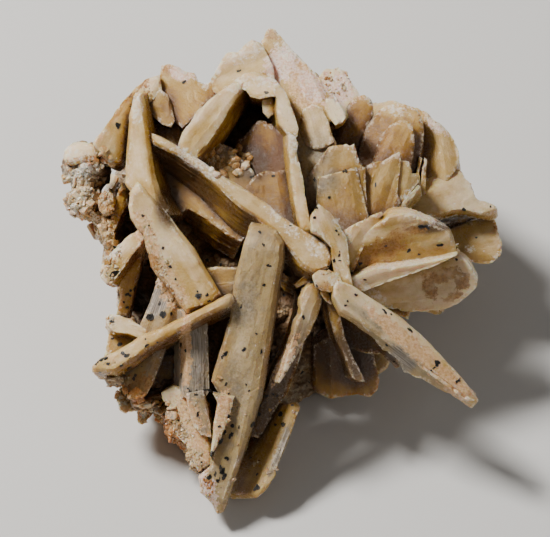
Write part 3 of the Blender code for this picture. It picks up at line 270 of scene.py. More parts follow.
RIGHT_BLADES = [
    crystal("broad_window", depth=-2.5, lean=(0.05, -0.1), sweep=(0.5, -2, -6), outline=[
        (6.3, 20), (9, 23.5), (11.5, 26.6), (12.2, 27.4), (16, 28.1), (16.8, 27.6),
        (17.8, 28.1), (19.2, 23.6), (20.3, 22.8), (20.4, 18), (21, 12), (20, 4), (12, 2),
        (7.5, 8)]),
    crystal("side_window", depth=-3.6, lean=(-0.05, -0.1), sweep=(0.5, -2, -6), outline=[
        (19.5, 23.2), (24, 24.4), (28, 26.3), (28.4, 24.4), (27.5, 17), (28.3, 15),
        (26, 11.5), (22, 6), (18, 4), (19, 12)]),
    crystal("window_step", depth=-4.8, lean=(-0.1, -0.1), sweep=(0.5, -2, -6), outline=[
        (26, 25.4), (28.2, 26.2), (28.4, 24.4), (30.2, 24.1), (30.8, 21.5), (32.3, 21.6),
        (32.4, 19.8), (30.3, 17), (28.6, 14), (25, 10), (24, 16)]),
    crystal("white_needle", depth=-4.5, lean=(-0.1, -0.2), sweep=(0.5, -2, -6), outline=[
        (25.6, 12), (29, 15.2), (32.2, 18.9), (32.8, 18.5), (29.7, 14.3), (27, 11)]),
    crystal("fold_a", depth=-19, lean=(0.25, -0.1), sweep=(0.5, -4, -9), outline=[
        (12.2, 33.5), (15.8, 36), (17.8, 38.2), (20, 39.3), (22, 38.8), (22.3, 35),
        (20.5, 31), (19.3, 27), (19, 20), (14, 20), (12, 28)]),
    crystal("fold_b", depth=-16.8, lean=(0.3, -0.25), sweep=(0.5, -4, -9), outline=[
        (19, 20), (18.8, 26), (19.8, 29.5), (21.5, 33), (22.5, 36), (23.3, 39.5),
        (24.7, 39.6), (25.6, 38.3), (27, 37.3), (27.5, 34), (25, 30), (23.5, 26), (23, 20)]),
    crystal("fold_c", depth=-15.6, lean=(0.3, -0.25), sweep=(0.5, -4, -9), outline=[
        (21, 20), (21.3, 27), (22.5, 30.5), (25, 33), (28, 34.8), (29.5, 36.6), (31, 36.3),
        (31.5, 33), (30.5, 30.5), (29.3, 27.5), (28, 20)]),
    crystal("fold_d", depth=-20.5, lean=(0.05, -0.35), sweep=(0.5, -4, -9), outline=[
        (29, 31), (30, 34.5), (31.8, 36.6), (33.5, 35.6), (35, 35), (35.9, 33.4),
        (38, 32.3), (40.3, 29.7), (41.4, 27.5), (41.9, 25.3), (41, 22), (38, 18),
        (32, 14), (29, 20)]),
    crystal("rib_a", depth=-14.5, lean=(0, -0.2), sweep=(0.5, -2, -8), outline=[
        (30.6, 30.2), (31, 28), (30, 25), (29.5, 20), (28, 20), (28.6, 24.4), (29.6, 28)]),
    crystal("rib_b", depth=-13.5, lean=(0, -0.2), sweep=(0.5, -2, -9), outline=[
        (32.6, 25.5), (33.3, 25), (32.7, 21.5), (33.2, 17), (31.5, 15), (31.8, 21.5)]),
    crystal("rib_c", depth=-14, lean=(0, -0.2), sweep=(0.5, -2, -9), outline=[
        (33.8, 25.2), (34.5, 24.6), (34.1, 22), (34.2, 17), (32.6, 16), (33.2, 22.5)]),
    crystal("shelf", depth=-15, lean=(-0.3, -0.5), sweep=(0.5, -1.5, -3.5), outline=[
        (26.5, 12.4), (29.5, 15.8), (32.3, 19), (35, 21.3), (38, 22.2), (41, 22.9),
        (42.4, 22.4), (43, 20.3), (44.1, 19.6), (44.9, 17.5), (45.5, 15.6),
        (48, 15.1), (50.6, 14), (49.3, 12.4), (46, 12.4), (42, 13.6), (37, 12.2),
        (34, 10.8), (29, 8), (22, 5)]),
    crystal("outer_leaf", depth=-19, lean=(-0.1, -0.3), sweep=(-1.5, 1, -4.5), outline=[
        (49.2, 12.4), (50.2, 10.7), (50.4, 8.6), (51.2, 6.8), (51.5, 4.4), (50.9, 2.4),
        (49.4, 1.2), (47.3, 0.9), (44, 1.6), (41, 2), (28, 2), (26, 6), (36, 8),
        (41, 9.5), (45, 10.8)]),
    crystal("fan_small", depth=1, lean=(-0.3, -0.1), sweep=(0, -1.5, -5), outline=[
        (14.5, 8.3), (19, 10.6), (22, 12.1), (23.9, 12.8), (24.3, 12.3), (23.8, 11),
        (21.5, 7), (19.5, 4), (17.5, -1), (14, 2)]),
    crystal("fan_large", depth=-1.5, lean=(-0.22, 0.2), sweep=(0, 1.5, -3.5), outline=[
        (24.1, 10.6), (25.5, 12), (27, 12.4), (31, 12.2), (33, 11.2), (36, 10.1), (37, 9.4),
        (39.3, 8.1), (39.7, 7), (40.4, 5.5), (41, 2.9), (34, 2), (29, 0), (23, -1.5),
        (15, -3), (14, 2), (18, 6.5)]),
    crystal("fan_edge", depth=2.5, lean=(-0.3, 0.1), sweep=(0.5, 2.8, -9), outline=[
        (41, 2.9), (36, 1.6), (31, 0.8), (26, 0), (22.5, -0.1), (18, -1.8), (15, -3),
        (16, -5), (20, -5.2), (24, -3.6), (29, -1.8), (35, 0.2)]),
    crystal("stained_leaf", depth=-4.5, lean=(-0.15, 0.1), sweep=(0, 1.5, -3.5), outline=[
        (41, 2.9), (43.8, 1.2), (44.9, -1), (45.8, -2.4), (45.4, -3), (45.6, -4),
        (44, -5.6), (41.5, -7.8), (40, -8.7), (36, -9.7), (30, -10), (26, -9), (16, -7),
        (13, -3), (22, 0), (30, 1), (36, 2)]),
    crystal("leaf_sliver", depth=-6, lean=(0, 0), sweep=(0, 2, -4), outline=[
        (22, -6), (31, -8), (30, -11.6), (26, -10)]),
    crystal("knot_cap", depth=7.6, lean=(-0.1, -0.2), sweep=(0, -0.5, -9), outline=[
        (8.3, -1.5), (10, -0.3), (12.5, -0.5), (14.5, -1.5), (15.2, -3.5), (14, -5),
        (12.3, -5.3), (10.5, -5), (9, -4)]),
    crystal("thin_strut", depth=0.5, lean=(-0.1, 0.2), sweep=(-1.5, 0, -7), outline=[
        (11.5, -5), (14, -6), (15, -12.3), (16, -16), (17.6, -20), (19.5, -23.5),
        (20.3, -25.3), (18.9, -25.4), (17.3, -24.5), (16.3, -21.5), (15, -18.5),
        (13.5, -15), (12, -10)]),
    crystal("small_strut", depth=5.5, lean=(0, 0), sweep=(0, 0, -5), outline=[
        (10, -3.8), (11.7, -4), (13.1, -7.5), (12.5, -8.1), (11.2, -7.2), (10.2, -5.8)]),
    crystal("amber_underleaf", depth=-3, lean=(0, 0), sweep=(0, 2, -4), outline=[
        (13, -8), (17, -10), (21, -13), (24, -16.5), (27.3, -20.2), (28.2, -22),
        (27.3, -22.6), (24, -19.4), (20, -19), (15, -18)]),
    crystal("brown_underleaf", depth=-8, lean=(0.1, 0.3), sweep=(-1, 2, -4), outline=[
        (9, -18), (16, -12), (20, -14), (22.5, -20), (23.7, -25.3), (23.2, -27.6), (21.4, -29.1),
        (18.5, -28.4), (15.8, -28.9), (12, -29.6), (9, -28)]),
    crystal("shadow_blade", depth=-3, lean=(0.1, 0.1), sweep=(0, 2, -7), outline=[
        (4.5, -6), (3.9, -12), (2, -18), (-1, -24), (-4, -32), (-6.5, -38), (-3.5, -38.5),
        (0, -32), (3, -28), (5, -22), (8, -12), (8, -6)]),
    crystal("pin_left", depth=1.5, lean=(0, 0), sweep=(0, 0, -5), outline=[
        (-1.5, -0.5), (1.5, -0.7), (3.2, -2.1), (2.6, -3), (-1, -2.6)]),
    crystal("pin_right", depth=2.5, lean=(0, 0), sweep=(0, 1, -7), outline=[
        (4, -3.5), (5.5, -2.6), (7.5, -0.8), (9.5, -0.6), (9, -2.6), (6, -4.2), (4.8, -4.6)]),
]


# Lumps of the massive barite and of the matrix under it, which run together into one rock. Each
# has its middle and its radii. These are placed in the front view (u, v, w).
VIEW_LUMPS = [
    ((-14, 26, -24), (21, 14, 10)),
    ((-2, 34, -26), (17, 11, 10)),
    ((14, 22, -26), (18, 13, 10)),
    ((28, 18, -30), (12, 11, 8)),
    ((-23, 12, -21), (14, 14, 10)),
    ((-8, 4, -23), (18, 15, 9)),
    ((12, 4, -22), (17, 13, 11)),
    ((27, 4, -20), (10, 6, 8)),
    ((-26, -8, -18), (10, 13, 8)),
    ((-10, -18, -16), (14, 14, 8)),
    ((7, -14, -20), (12, 12, 8)),
    ((-17, -32, -12), (8, 11, 6)),
    ((-4, -33, -15), (7, 9, 6)),
    ((-42, 23, -17), (6.3, 6, 10)),
    ((-42.4, 15, -16), (5, 5, 9)),
    ((-37.6, 9.5, -15), (3.6, 4.6, 9)),
    ((-34.6, 3, -14), (2.6, 4, 8)),
    ((-34.4, -6, -11), (2.6, 5, 6)),
    ((-35.6, -24.6, -7), (3.4, 2.4, 6)),
    ((-29, -30.5, -11), (4, 3.4, 7)),
    ((-21.8, -35.6, -7), (3.6, 4.2, 6)),
    ((-17.8, -43, -4), (2.8, 3.4, 4)),
]
# And these in the specimen's own frame (x, y, z), up from the surface that it stands on.
FOOT_LUMPS = [
    ((-1, 12, 8), (29, 26, 15)),
    ((-12, -8, 5), (21, 24, 10)),
    ((-2, 25, 15), (31, 16, 16)),
    ((11, -3, 6), (15, 15, 9)),
    ((-25, 22, 18), (14.5, 17, 16)),
    ((-17, -21, 4), (12, 12, 7)),
    ((22, 22, 14), (12, 15, 12)),
]

# Blades round the back and sides, in the specimen's own frame: where the blade roots, its tip, the
# roll of its broad face about its length in degrees, its width and its thickness.
RIM_BLADES = [
    ((-4, 32, 34), (-4, 57, 32), 25, 17, 3.8),
    ((4, 30, 32), (10, 54, 26), 70, 15, 3.4),
    ((-12, 30, 32), (-16, 51, 29), -40, 16, 3.6),
    ((-18, 26, 30), (-31, 46, 30), 20, 16, 3.6),
    ((14, 28, 32), (26, 46, 29), -35, 15, 3.4),
    ((-8, 28, 28), (-6, 56, 20), 80, 15, 3.2),
    ((8, 26, 26), (19, 51, 17), 15, 14, 3.2),
    ((-18, 24, 26), (-32, 45, 19), -60, 14, 3.2),
    ((20, 22, 28), (38, 35, 22), 45, 15, 3.4),
    ((24, 18, 26), (45, 23, 21), -20, 14, 3.4),
    ((22, 10, 22), (43, 13, 15), 50, 12, 3),
    ((18, 2, 20), (37, 1, 13), -50, 11, 3),
    ((8, -4, 16), (25, -12, 9), 30, 10, 2.8),
    ((-24, 18, 26), (-42, 25, 20), 35, 13, 3.2),
    ((-22, 10, 22), (-40, 12, 13), -30, 12, 3),
    ((-20, 0, 19), (-36, -3, 10), 55, 11, 3),
    ((-18, -14, 15), (-34, -19, 8), -20, 10, 2.6),
]
RIM_CHISEL = 0.5

# How each blade differs from the plain honey-coloured ones, from 0 to 1 for each of the names.
TINT_NAMES = ("amber", "grey", "pale")
PLAIN_TINT = (0.2, 0.0, 0.25)
# The amber share is partly each blade's own tint and partly painted shade: it is set higher on blades that
# lie in shade, such as those under the great spear.
TINTS = {
    "long_diagonal": (0.5, 0.2, 0.0), "long_upright": (0.35, 0.6, 0.0),
    "crusted_diagonal": (0.2, 0.0, 0.5), "left_upright": (0.4, 0.0, 0.45),
    "left_thin_diagonal": (0.6, 0.0, 0.15), "great_spear": (0.2, 0.05, 0.6),
    "spear_keel": (0.15, 0.6, 0.2), "lower_keel": (0.45, 0.15, 0.1), "slim_leaf": (0.2, 0.2, 0.5),
    "bent_leaf": (0.3, 0.0, 0.55), "curved_edge": (0.3, 0.0, 0.65), "left_stub": (0.2, 0.0, 0.5),
    "left_back_leaf": (0.3, 0.1, 0.45), "striated_slab": (0.3, 0.6, 0.0),
    "grey_block": (0.05, 0.95, 0.2), "grey_spur": (0.05, 0.8, 0.1),
    "left_lower_block": (0.3, 0.1, 0.5), "left_lower_leaf": (0.35, 0.1, 0.4),
    "inner_left": (0.4, 0.0, 0.3), "left_wall": (0.2, 0.0, 0.2), "left_rim": (0.3, 0.0, 0.6),
    "white_tooth": (0.0, 0.1, 0.9), "twin_teeth": (0.1, 0.1, 0.8), "small_shelf": (0.2, 0.3, 0.3),
    "lower_parallel": (0.65, 0.1, 0.1), "arch_leaf": (0.2, 0.0, 0.5), "arch_top": (0.3, 0.0, 0.3),
    "tan_shoulder": (0.25, 0.1, 0.5), "hanging_tooth": (0.2, 0.1, 0.6), "top_plate": (0.4, 0.1, 0.4),
    "summit_ridge": (0.4, 0.1, 0.1), "summit_step": (0.1, 0.0, 0.9), "summit_patch": (0.1, 0.0, 1.0),
    "pink_lump": (0.0, 0.0, 1.0), "upper_left_block": (0.85, 0.0, 0.15),
    "upper_left_tooth": (0.45, 0.15, 0.35), "shaded_teeth": (0.5, 0.1, 0.2),
    "amber_window": (0.9, 0.0, 0.0), "dull_cluster": (0.5, 0.3, 0.1), "shaded_leaf": (0.6, 0.2, 0.0),
    "broad_window": (0.5, 0.25, 0.0), "side_window": (0.55, 0.2, 0.0),
    "window_step": (0.4, 0.15, 0.15), "white_needle": (0.0, 0.0, 1.0), "fold_a": (0.75, 0.0, 0.0),
    "fold_b": (0.6, 0.0, 0.0), "fold_c": (0.6, 0.0, 0.0), "fold_d": (0.5, 0.0, 0.15),
    "rib_a": (0.6, 0.0, 0.3), "rib_b": (0.4, 0.0, 0.6), "rib_c": (0.4, 0.0, 0.6),
    "shelf": (0.2, 0.1, 0.6), "outer_leaf": (0.55, 0.2, 0.2), "fan_small": (0.15, 0.0, 0.5),
    "fan_large": (0.15, 0.0, 0.6), "fan_edge": (0.0, 0.0, 1.0), "stained_leaf": (0.0, 0.0, 0.9),
    "knot_cap": (0.3, 0.0, 0.6), "thin_strut": (0.6, 0.1, 0.1), "amber_underleaf": (0.7, 0.1, 0.0),
    "brown_underleaf": (1.0, 0.0, 0.0), "shadow_blade": (0.7, 0.2, 0.0), "low_chunk": (0.1, 0.0, 0.7),
    "raised_slab": (0.15, 0.0, 0.6), "summit_window": (0.35, 0.2, 0.2), "summit_block": (0.0, 0.0, 0.9),
    "left_knob": (0.1, 0.0, 0.7), "yellow_nub": (0.5, 0.0, 0.3), "window_front": (0.5, 0.25, 0.0),
}

# Stains, weathered patches and painted shade of the front by kind, placed in the front view: the middle (u,
# v) of each, its half width and half height, and its turn in degrees. The "deep" patches are painted shadow
# and the "honey" patches partly painted shade.
PATCHES = {
    "tan": [
        (40.5, -26.0, 4.5, 2.6, -42), (8.8, 44.0, 2.6, 5.0, 38), (5.0, 43.5, 2.6, 4.4, 0),
        (7.4, 38.4, 3.0, 2.4, 0), (-29.8, 9.5, 2.4, 3.6, 20), (-28.2, 4.0, 2.4, 4.6, 15),
        (-25.8, -1.0, 2.6, 4.2, 30), (-22.8, -5.6, 2.6, 4.4, 35), (-20.0, -18.0, 1.3, 9.0, 0),
        (-20.0, -34.0, 3.6, 5.5, 15), (-17.5, -41.0, 2.6, 4.6, 15), (-12.0, -33.0, 2.0, 5.4, -15),
        (2.2, -20.5, 1.2, 6.0, -27), (28.5, -15.6, 10.0, 1.7, -41), (35.0, -21.4, 6.0, 2.0, -41),
        (-40.5, 11.0, 4.0, 6.0, 0), (-43.0, 17.4, 2.6, 3.4, 0),
    ],
    "rust": [
        (-27.2, 1.5, 1.2, 2.4, 25), (-24.0, -5.0, 1.0, 2.6, 35), (-15.0, -48.0, 1.2, 3.0, 10),
        (-37.6, -4.6, 1.2, 2.4, 10), (-30.0, -27.0, 4.2, 3.2, 0), (-23.0, -38.0, 2.6, 5.0, 15),
        (37.4, -1.6, 4.4, 1.7, 14), (42.0, -2.8, 1.9, 2.2, 0), (34.8, -4.4, 1.5, 2.6, 20),
        (40.2, -6.2, 2.2, 1.0, 20), (24.0, 38.0, 1.6, 1.3, 0), (-0.6, 53.2, 1.4, 1.6, 0),
        (11.6, 43.4, 1.4, 1.8, 0), (-33.8, 39.0, 1.8, 1.4, 45), (-30.0, 41.8, 1.8, 0.9, 40),
        (-24.5, 45.0, 1.6, 1.6, 0), (-42.6, 24.3, 5.0, 1.2, 6), (-38.6, 13.6, 2.4, 4.0, 0),
        (11.0, -4.0, 1.6, 1.4, 0), (24.0, 4.0, 6.0, 2.6, 30), (28.0, 8.0, 3.4, 1.4, 25),
        (23.6, -26.2, 0.9, 1.6, 20), (31.0, 8.6, 3.4, 0.9, 0),
    ],
    "white": [
        (9.6, 5.2, 2.8, 2.6, -30), (3.4, 8.6, 2.4, 1.2, -40), (-18.0, 24.0, 9.0, 1.4, -35),
        (1.5, 11.0, 4.0, 1.2, -40), (-36.6, -8.4, 1.6, 3.6, 10), (-36.8, 3.6, 1.0, 2.4, -45),
        (21.0, -4.8, 7.0, 1.0, -35), (2.5, 49.5, 3.0, 2.0, -35), (-8.0, 41.4, 3.4, 1.6, 20),
        (-2.0, 42.2, 3.6, 1.2, 0), (-31.0, 36.0, 1.2, 3.6, 0), (-14.5, 44.0, 1.6, 4.0, -30),
        (-7.0, 48.6, 4.0, 2.2, 20), (-42.0, 20.0, 5.0, 6.0, 0), (-46.4, 26.2, 2.0, 1.6, 0),
        (-37.4, 18.4, 1.8, 3.4, -20), (12.6, -2.6, 1.4, 1.2, 0), (4.2, 27.5, 1.2, 3.4, 0),
        (35.0, 11.2, 5.0, 1.0, -15), (31.0, 1.4, 9.0, 0.8, 8), (29.0, 16.0, 3.4, 0.7, 45),
        (15.0, 8.6, 1.0, 4.0, 35), (25.6, 36.4, 5.0, 1.2, -20), (44.2, 4.4, 1.4, 0.9, 0),
    ],
    "grey": [
        (1.2, -40.5, 1.3, 9.0, -21), (-26.5, -7.0, 4.0, 6.0, -30), (-17.0, -19.0, 2.6, 10.0, 0),
        (28.5, -20.0, 5.0, 4.0, -35), (-41.0, 21.0, 3.0, 2.6, 0), (-46.6, 12.8, 2.2, 1.8, 0),
        (-40.0, 4.4, 2.2, 2.6, 0),
    ],
    "dark": [
        (-12.8, -45.5, 2.6, 3.0, 20), (-38.8, -21.8, 3.2, 2.0, 25), (-33.0, -19.6, 1.6, 1.2, 25),
        (-27.6, -7.0, 2.4, 1.8, -30), (-31.0, -24.0, 2.4, 1.6, 0), (-17.2, -27.4, 2.2, 1.0, 10),
        (-32.6, 37.6, 1.4, 1.2, 0),
    ],
    "pink": [
        (-15.6, -50.0, 2.6, 4.4, 15), (1.5, 46.5, 3.4, 5.0, -35), (8.4, 41.0, 2.4, 4.4, 35),
        (14.8, 41.5, 4.2, 4.4, 0), (-21.0, 44.0, 3.0, 1.4, -15), (36.4, 33.0, 3.6, 1.6, -40),
    ],
    # Partly the barite's own amber and partly painted shade, where shaded blades glow with light passed
    # through them.
    "honey": [
        (21.0, 24.0, 5.0, 6.0, 0), (-24.0, 36.5, 3.0, 4.0, 0), (26.0, 28.0, 8.0, 6.0, 0),
        (-12.5, 16.0, 18.0, 1.7, -37), (-28.2, 27.0, 0.9, 10.0, 6), (-20.2, -2.6, 1.6, 6.5, 28),
        (-26.0, -17.2, 12.0, 0.9, 28), (-17.6, 30.6, 1.5, 6.5, -40), (26.0, 5.0, 7.0, 2.6, 14),
        (-34.4, 0.6, 1.8, 4.4, -50), (16.4, 14.0, 3.2, 6.0, 0), (12.6, 6.0, 1.0, 5.0, 20),
        (24.5, 31.0, 7.0, 4.0, -15), (25.0, 14.0, 4.0, 6.0, 0), (33.0, 27.0, 4.0, 5.0, 30),
        (-25.5, -20.5, 2.6, 6.0, -15), (-12.0, -22.0, 1.4, 8.0, -10), (36.0, 9.0, 7.0, 2.0, 20),
        (-2.0, 27.0, 5.0, 6.0, 0), (38.5, -24.5, 5.0, 2.0, -42),
    ],
    "smoke": [
        (9.0, 26.5, 4.0, 4.5, 0), (10.5, 19.5, 4.0, 4.0, 0), (-7.0, -8.0, 4.0, 9.0, -8),
        (-9.5, -28.0, 4.0, 9.0, -10), (21.5, -11.6, 6.0, 1.1, -37), (31.5, -21.4, 8.0, 1.4, -37),
    ],
    # Painted shadow where other blades cast shade on the front, as under the great spear.
    "deep": [
        (16.0, -20.0, 8.0, 6.5, 0), (-5.5, 24.0, 4.4, 4.4, 0), (-8.6, 29.6, 2.0, 5.0, -35),
        (1.0, -25.0, 2.4, 14.0, -22), (-24.0, 14.0, 3.0, 5.0, 0), (37.0, 9.6, 6.0, 1.4, 12),
    ],
}
# How far behind the front view's own plane the patches reach, over how many millimetres they fade
# there, and how many half widths from its middle a patch ends.
PATCH_DEPTH = -24.0
PATCH_FADE = 4
PATCH_EDGE = 1.5
# The blades that are curved like shells, and how far their middles rise, in millimetres.
SHELLS = {
    "fold_a": 3.0, "fold_b": 4.0, "fold_c": 3.6, "fold_d": 3.6, "outer_leaf": 1.6, "fan_large": 1.2,
    "stained_leaf": 1.0, "amber_window": 1.0, "left_wall": 1.2, "shelf": 1.2, "left_knob": 2.0,
    "yellow_nub": 1.4, "dull_cluster": 1.0,
}
# The shells of the fold, drawn broader here than the flat blades that stand for them: their
# outlines, depths and leans.
SHELL_SHAPES = {
    "fold_b": ([(19, 20), (18.6, 25), (19.6, 29), (21, 32.4), (22.8, 35), (25, 36.6), (28, 37.2), (31, 36.6),
                (33, 35), (34, 31), (33, 25), (30, 20)], -17.0, (0.12, -0.3)),
    "fold_c": ([(21.5, 19), (21.8, 24), (22.8, 28), (24.6, 31), (26.8, 33), (29.2, 33.6), (31.2, 32.4),
                (31.8, 29), (31, 24), (29, 19)], -14.0, (0.2, -0.25)),
}
# Small crystals that stand on the blades and are left to this surface.
DETAIL_BLADES = [
    crystal("summit_window", depth=-7.2, lean=(0.05, -0.42), sweep=(0, -1, -5), outline=[
        (6.3, 36.1), (8.3, 37.2), (10.6, 36.3), (11.9, 33.6), (12.8, 30.7), (13.3, 28.5), (11.5, 27.3),
        (8.8, 26.9), (6.5, 28.2), (5.4, 31.6)]),
    crystal("summit_block", depth=-8.6, lean=(0.1, -0.3), sweep=(0, -1, -4), outline=[
        (11.4, 38.2), (13.4, 38.4), (15.2, 36.6), (16.2, 34.4), (15.2, 33), (13.6, 32.4), (12.2, 34)]),
    crystal("left_knob", depth=-8.5, lean=(0.2, -0.3), sweep=(0.5, -1, -6), outline=[
        (-48, 25), (-47.2, 27.4), (-45, 28.7), (-42.4, 28.5), (-40.4, 27.6), (-39.4, 26), (-40.6, 24.4),
        (-43.5, 23.8), (-46.4, 23.4)]),
    crystal("yellow_nub", depth=-5.5, lean=(0.2, -0.2), sweep=(0.5, -0.5, -7), outline=[
        (-39.8, 16.4), (-38.4, 17.8), (-36.4, 16.8), (-35.6, 14.6), (-36.8, 12.2), (-38.6, 11.8),
        (-40, 13.8)]),
    crystal("window_front", depth=-1.2, lean=(0.05, -0.1), sweep=(0, -1, -4), outline=[
        (9.6, 20.6), (13, 21.4), (18.4, 23), (19.8, 17), (21, 12), (20, 8), (13, 7), (9, 12)]),
]

# Small grains and tablets grown on the front of the crust: their kind, the middle of their patch in
# the front view, its half width and half height, their number, and their least and greatest size.
GRAIN_ZONES = [
    ("lobe", -46.6, 15.2, 2.0, 3.4, 22, 0.6, 1.2), ("lobe", -41.4, 7.0, 1.8, 3.4, 14, 0.5, 1.1),
    ("lobe", -37.6, 24.2, 1.6, 1.4, 5, 0.8, 1.4), ("lobe", -10.6, 24.4, 5.2, 3.6, 40, 0.9, 1.7),
    ("lobe", -33.6, -29.4, 2.6, 2.4, 12, 0.8, 1.5), ("grain", -40.0, 24.0, 3.0, 2.0, 60, 0.3, 0.8),
    ("grain", -43.0, 17.2, 5.6, 6.2, 420, 0.25, 0.9), ("tablet", -43.0, 17.6, 5.6, 5.6, 50, 0.5, 1.3),
    ("grain", -41.0, 11.0, 5.5, 7.0, 380, 0.3, 1.0), ("tablet", -42.0, 11.0, 5.5, 7.0, 46, 0.6, 1.4),
    ("grain", -38.0, 3.5, 3.4, 4.6, 150, 0.3, 0.9), ("tablet", -39.0, 4.5, 3.0, 4.0, 26, 0.6, 1.3),
    ("tablet", -39.0, 25.0, 2.0, 1.8, 8, 0.6, 1.2),
    ("grain", -36.0, -25.5, 4.0, 2.6, 70, 0.3, 1.0), ("tablet", -33.0, -29.6, 3.4, 2.6, 22, 0.8, 1.8),
    ("grain", -26.5, -33.0, 4.6, 3.4, 120, 0.3, 1.1), ("tablet", -27.0, -32.0, 4.0, 3.0, 26, 0.6, 1.6),
    ("grain", -22.6, -38.6, 3.0, 5.0, 120, 0.3, 1.1), ("grain", -18.4, -43.4, 2.6, 3.6, 80, 0.3, 1.0),
    ("grain", -28.8, 6.4, 1.8, 4.6, 60, 0.25, 0.6), ("grain", -25.6, -1.6, 2.0, 4.6, 80, 0.25, 0.7),
    ("grain", -22.4, -6.4, 1.8, 3.0, 40, 0.25, 0.6), ("grain", -15.8, -50.6, 2.0, 4.0, 70, 0.25, 0.8),
    ("grain", -19.4, -33.0, 3.0, 6.0, 60, 0.2, 0.6), ("grain", -37.0, -4.0, 1.4, 6.0, 46, 0.25, 0.8),
    ("grain", -37.4, -13.0, 1.6, 2.6, 26, 0.25, 0.7), ("grain", 12.0, -2.6, 3.0, 2.2, 40, 0.2, 0.6),
    ("grain", 3.0, 48.0, 3.0, 4.6, 30, 0.2, 0.6), ("grain", 14.6, 42.0, 4.0, 3.6, 46, 0.3, 0.9),
    ("grain", 24.0, 38.4, 3.0, 1.2, 22, 0.25, 0.7), ("grain", -30.6, 40.0, 3.4, 2.2, 26, 0.25, 0.7),
    ("grain", 36.0, 33.4, 3.6, 2.0, 22, 0.2, 0.6),
]
# The same for the sides and the back, sought along a direction through a point of the specimen.
SIDE_ZONES = [
    ("grain", -40.0, 18.0, 24.0, 8.0, (1, 0, 0), 220, 0.4, 1.5),
    ("tablet", -40.0, 18.0, 22.0, 8.0, (1, 0.1, 0), 70, 0.8, 2.2),
    ("grain", 0.0, 40.0, 14.0, 12.0, (0, -1, 0), 240, 0.4, 1.4),
    ("tablet", 0.0, 40.0, 16.0, 12.0, (0, -1, 0), 70, 0.8, 2.2),
    ("grain", 30.0, 14.0, 12.0, 9.0, (-1, 0, 0), 180, 0.4, 1.3),
    ("tablet", 30.0, 12.0, 12.0, 9.0, (-1, 0, 0), 50, 0.8, 2.0),
    ("grain", -6.0, -26.0, 6.0, 10.0, (0, 1, 0), 120, 0.3, 1.1),
]

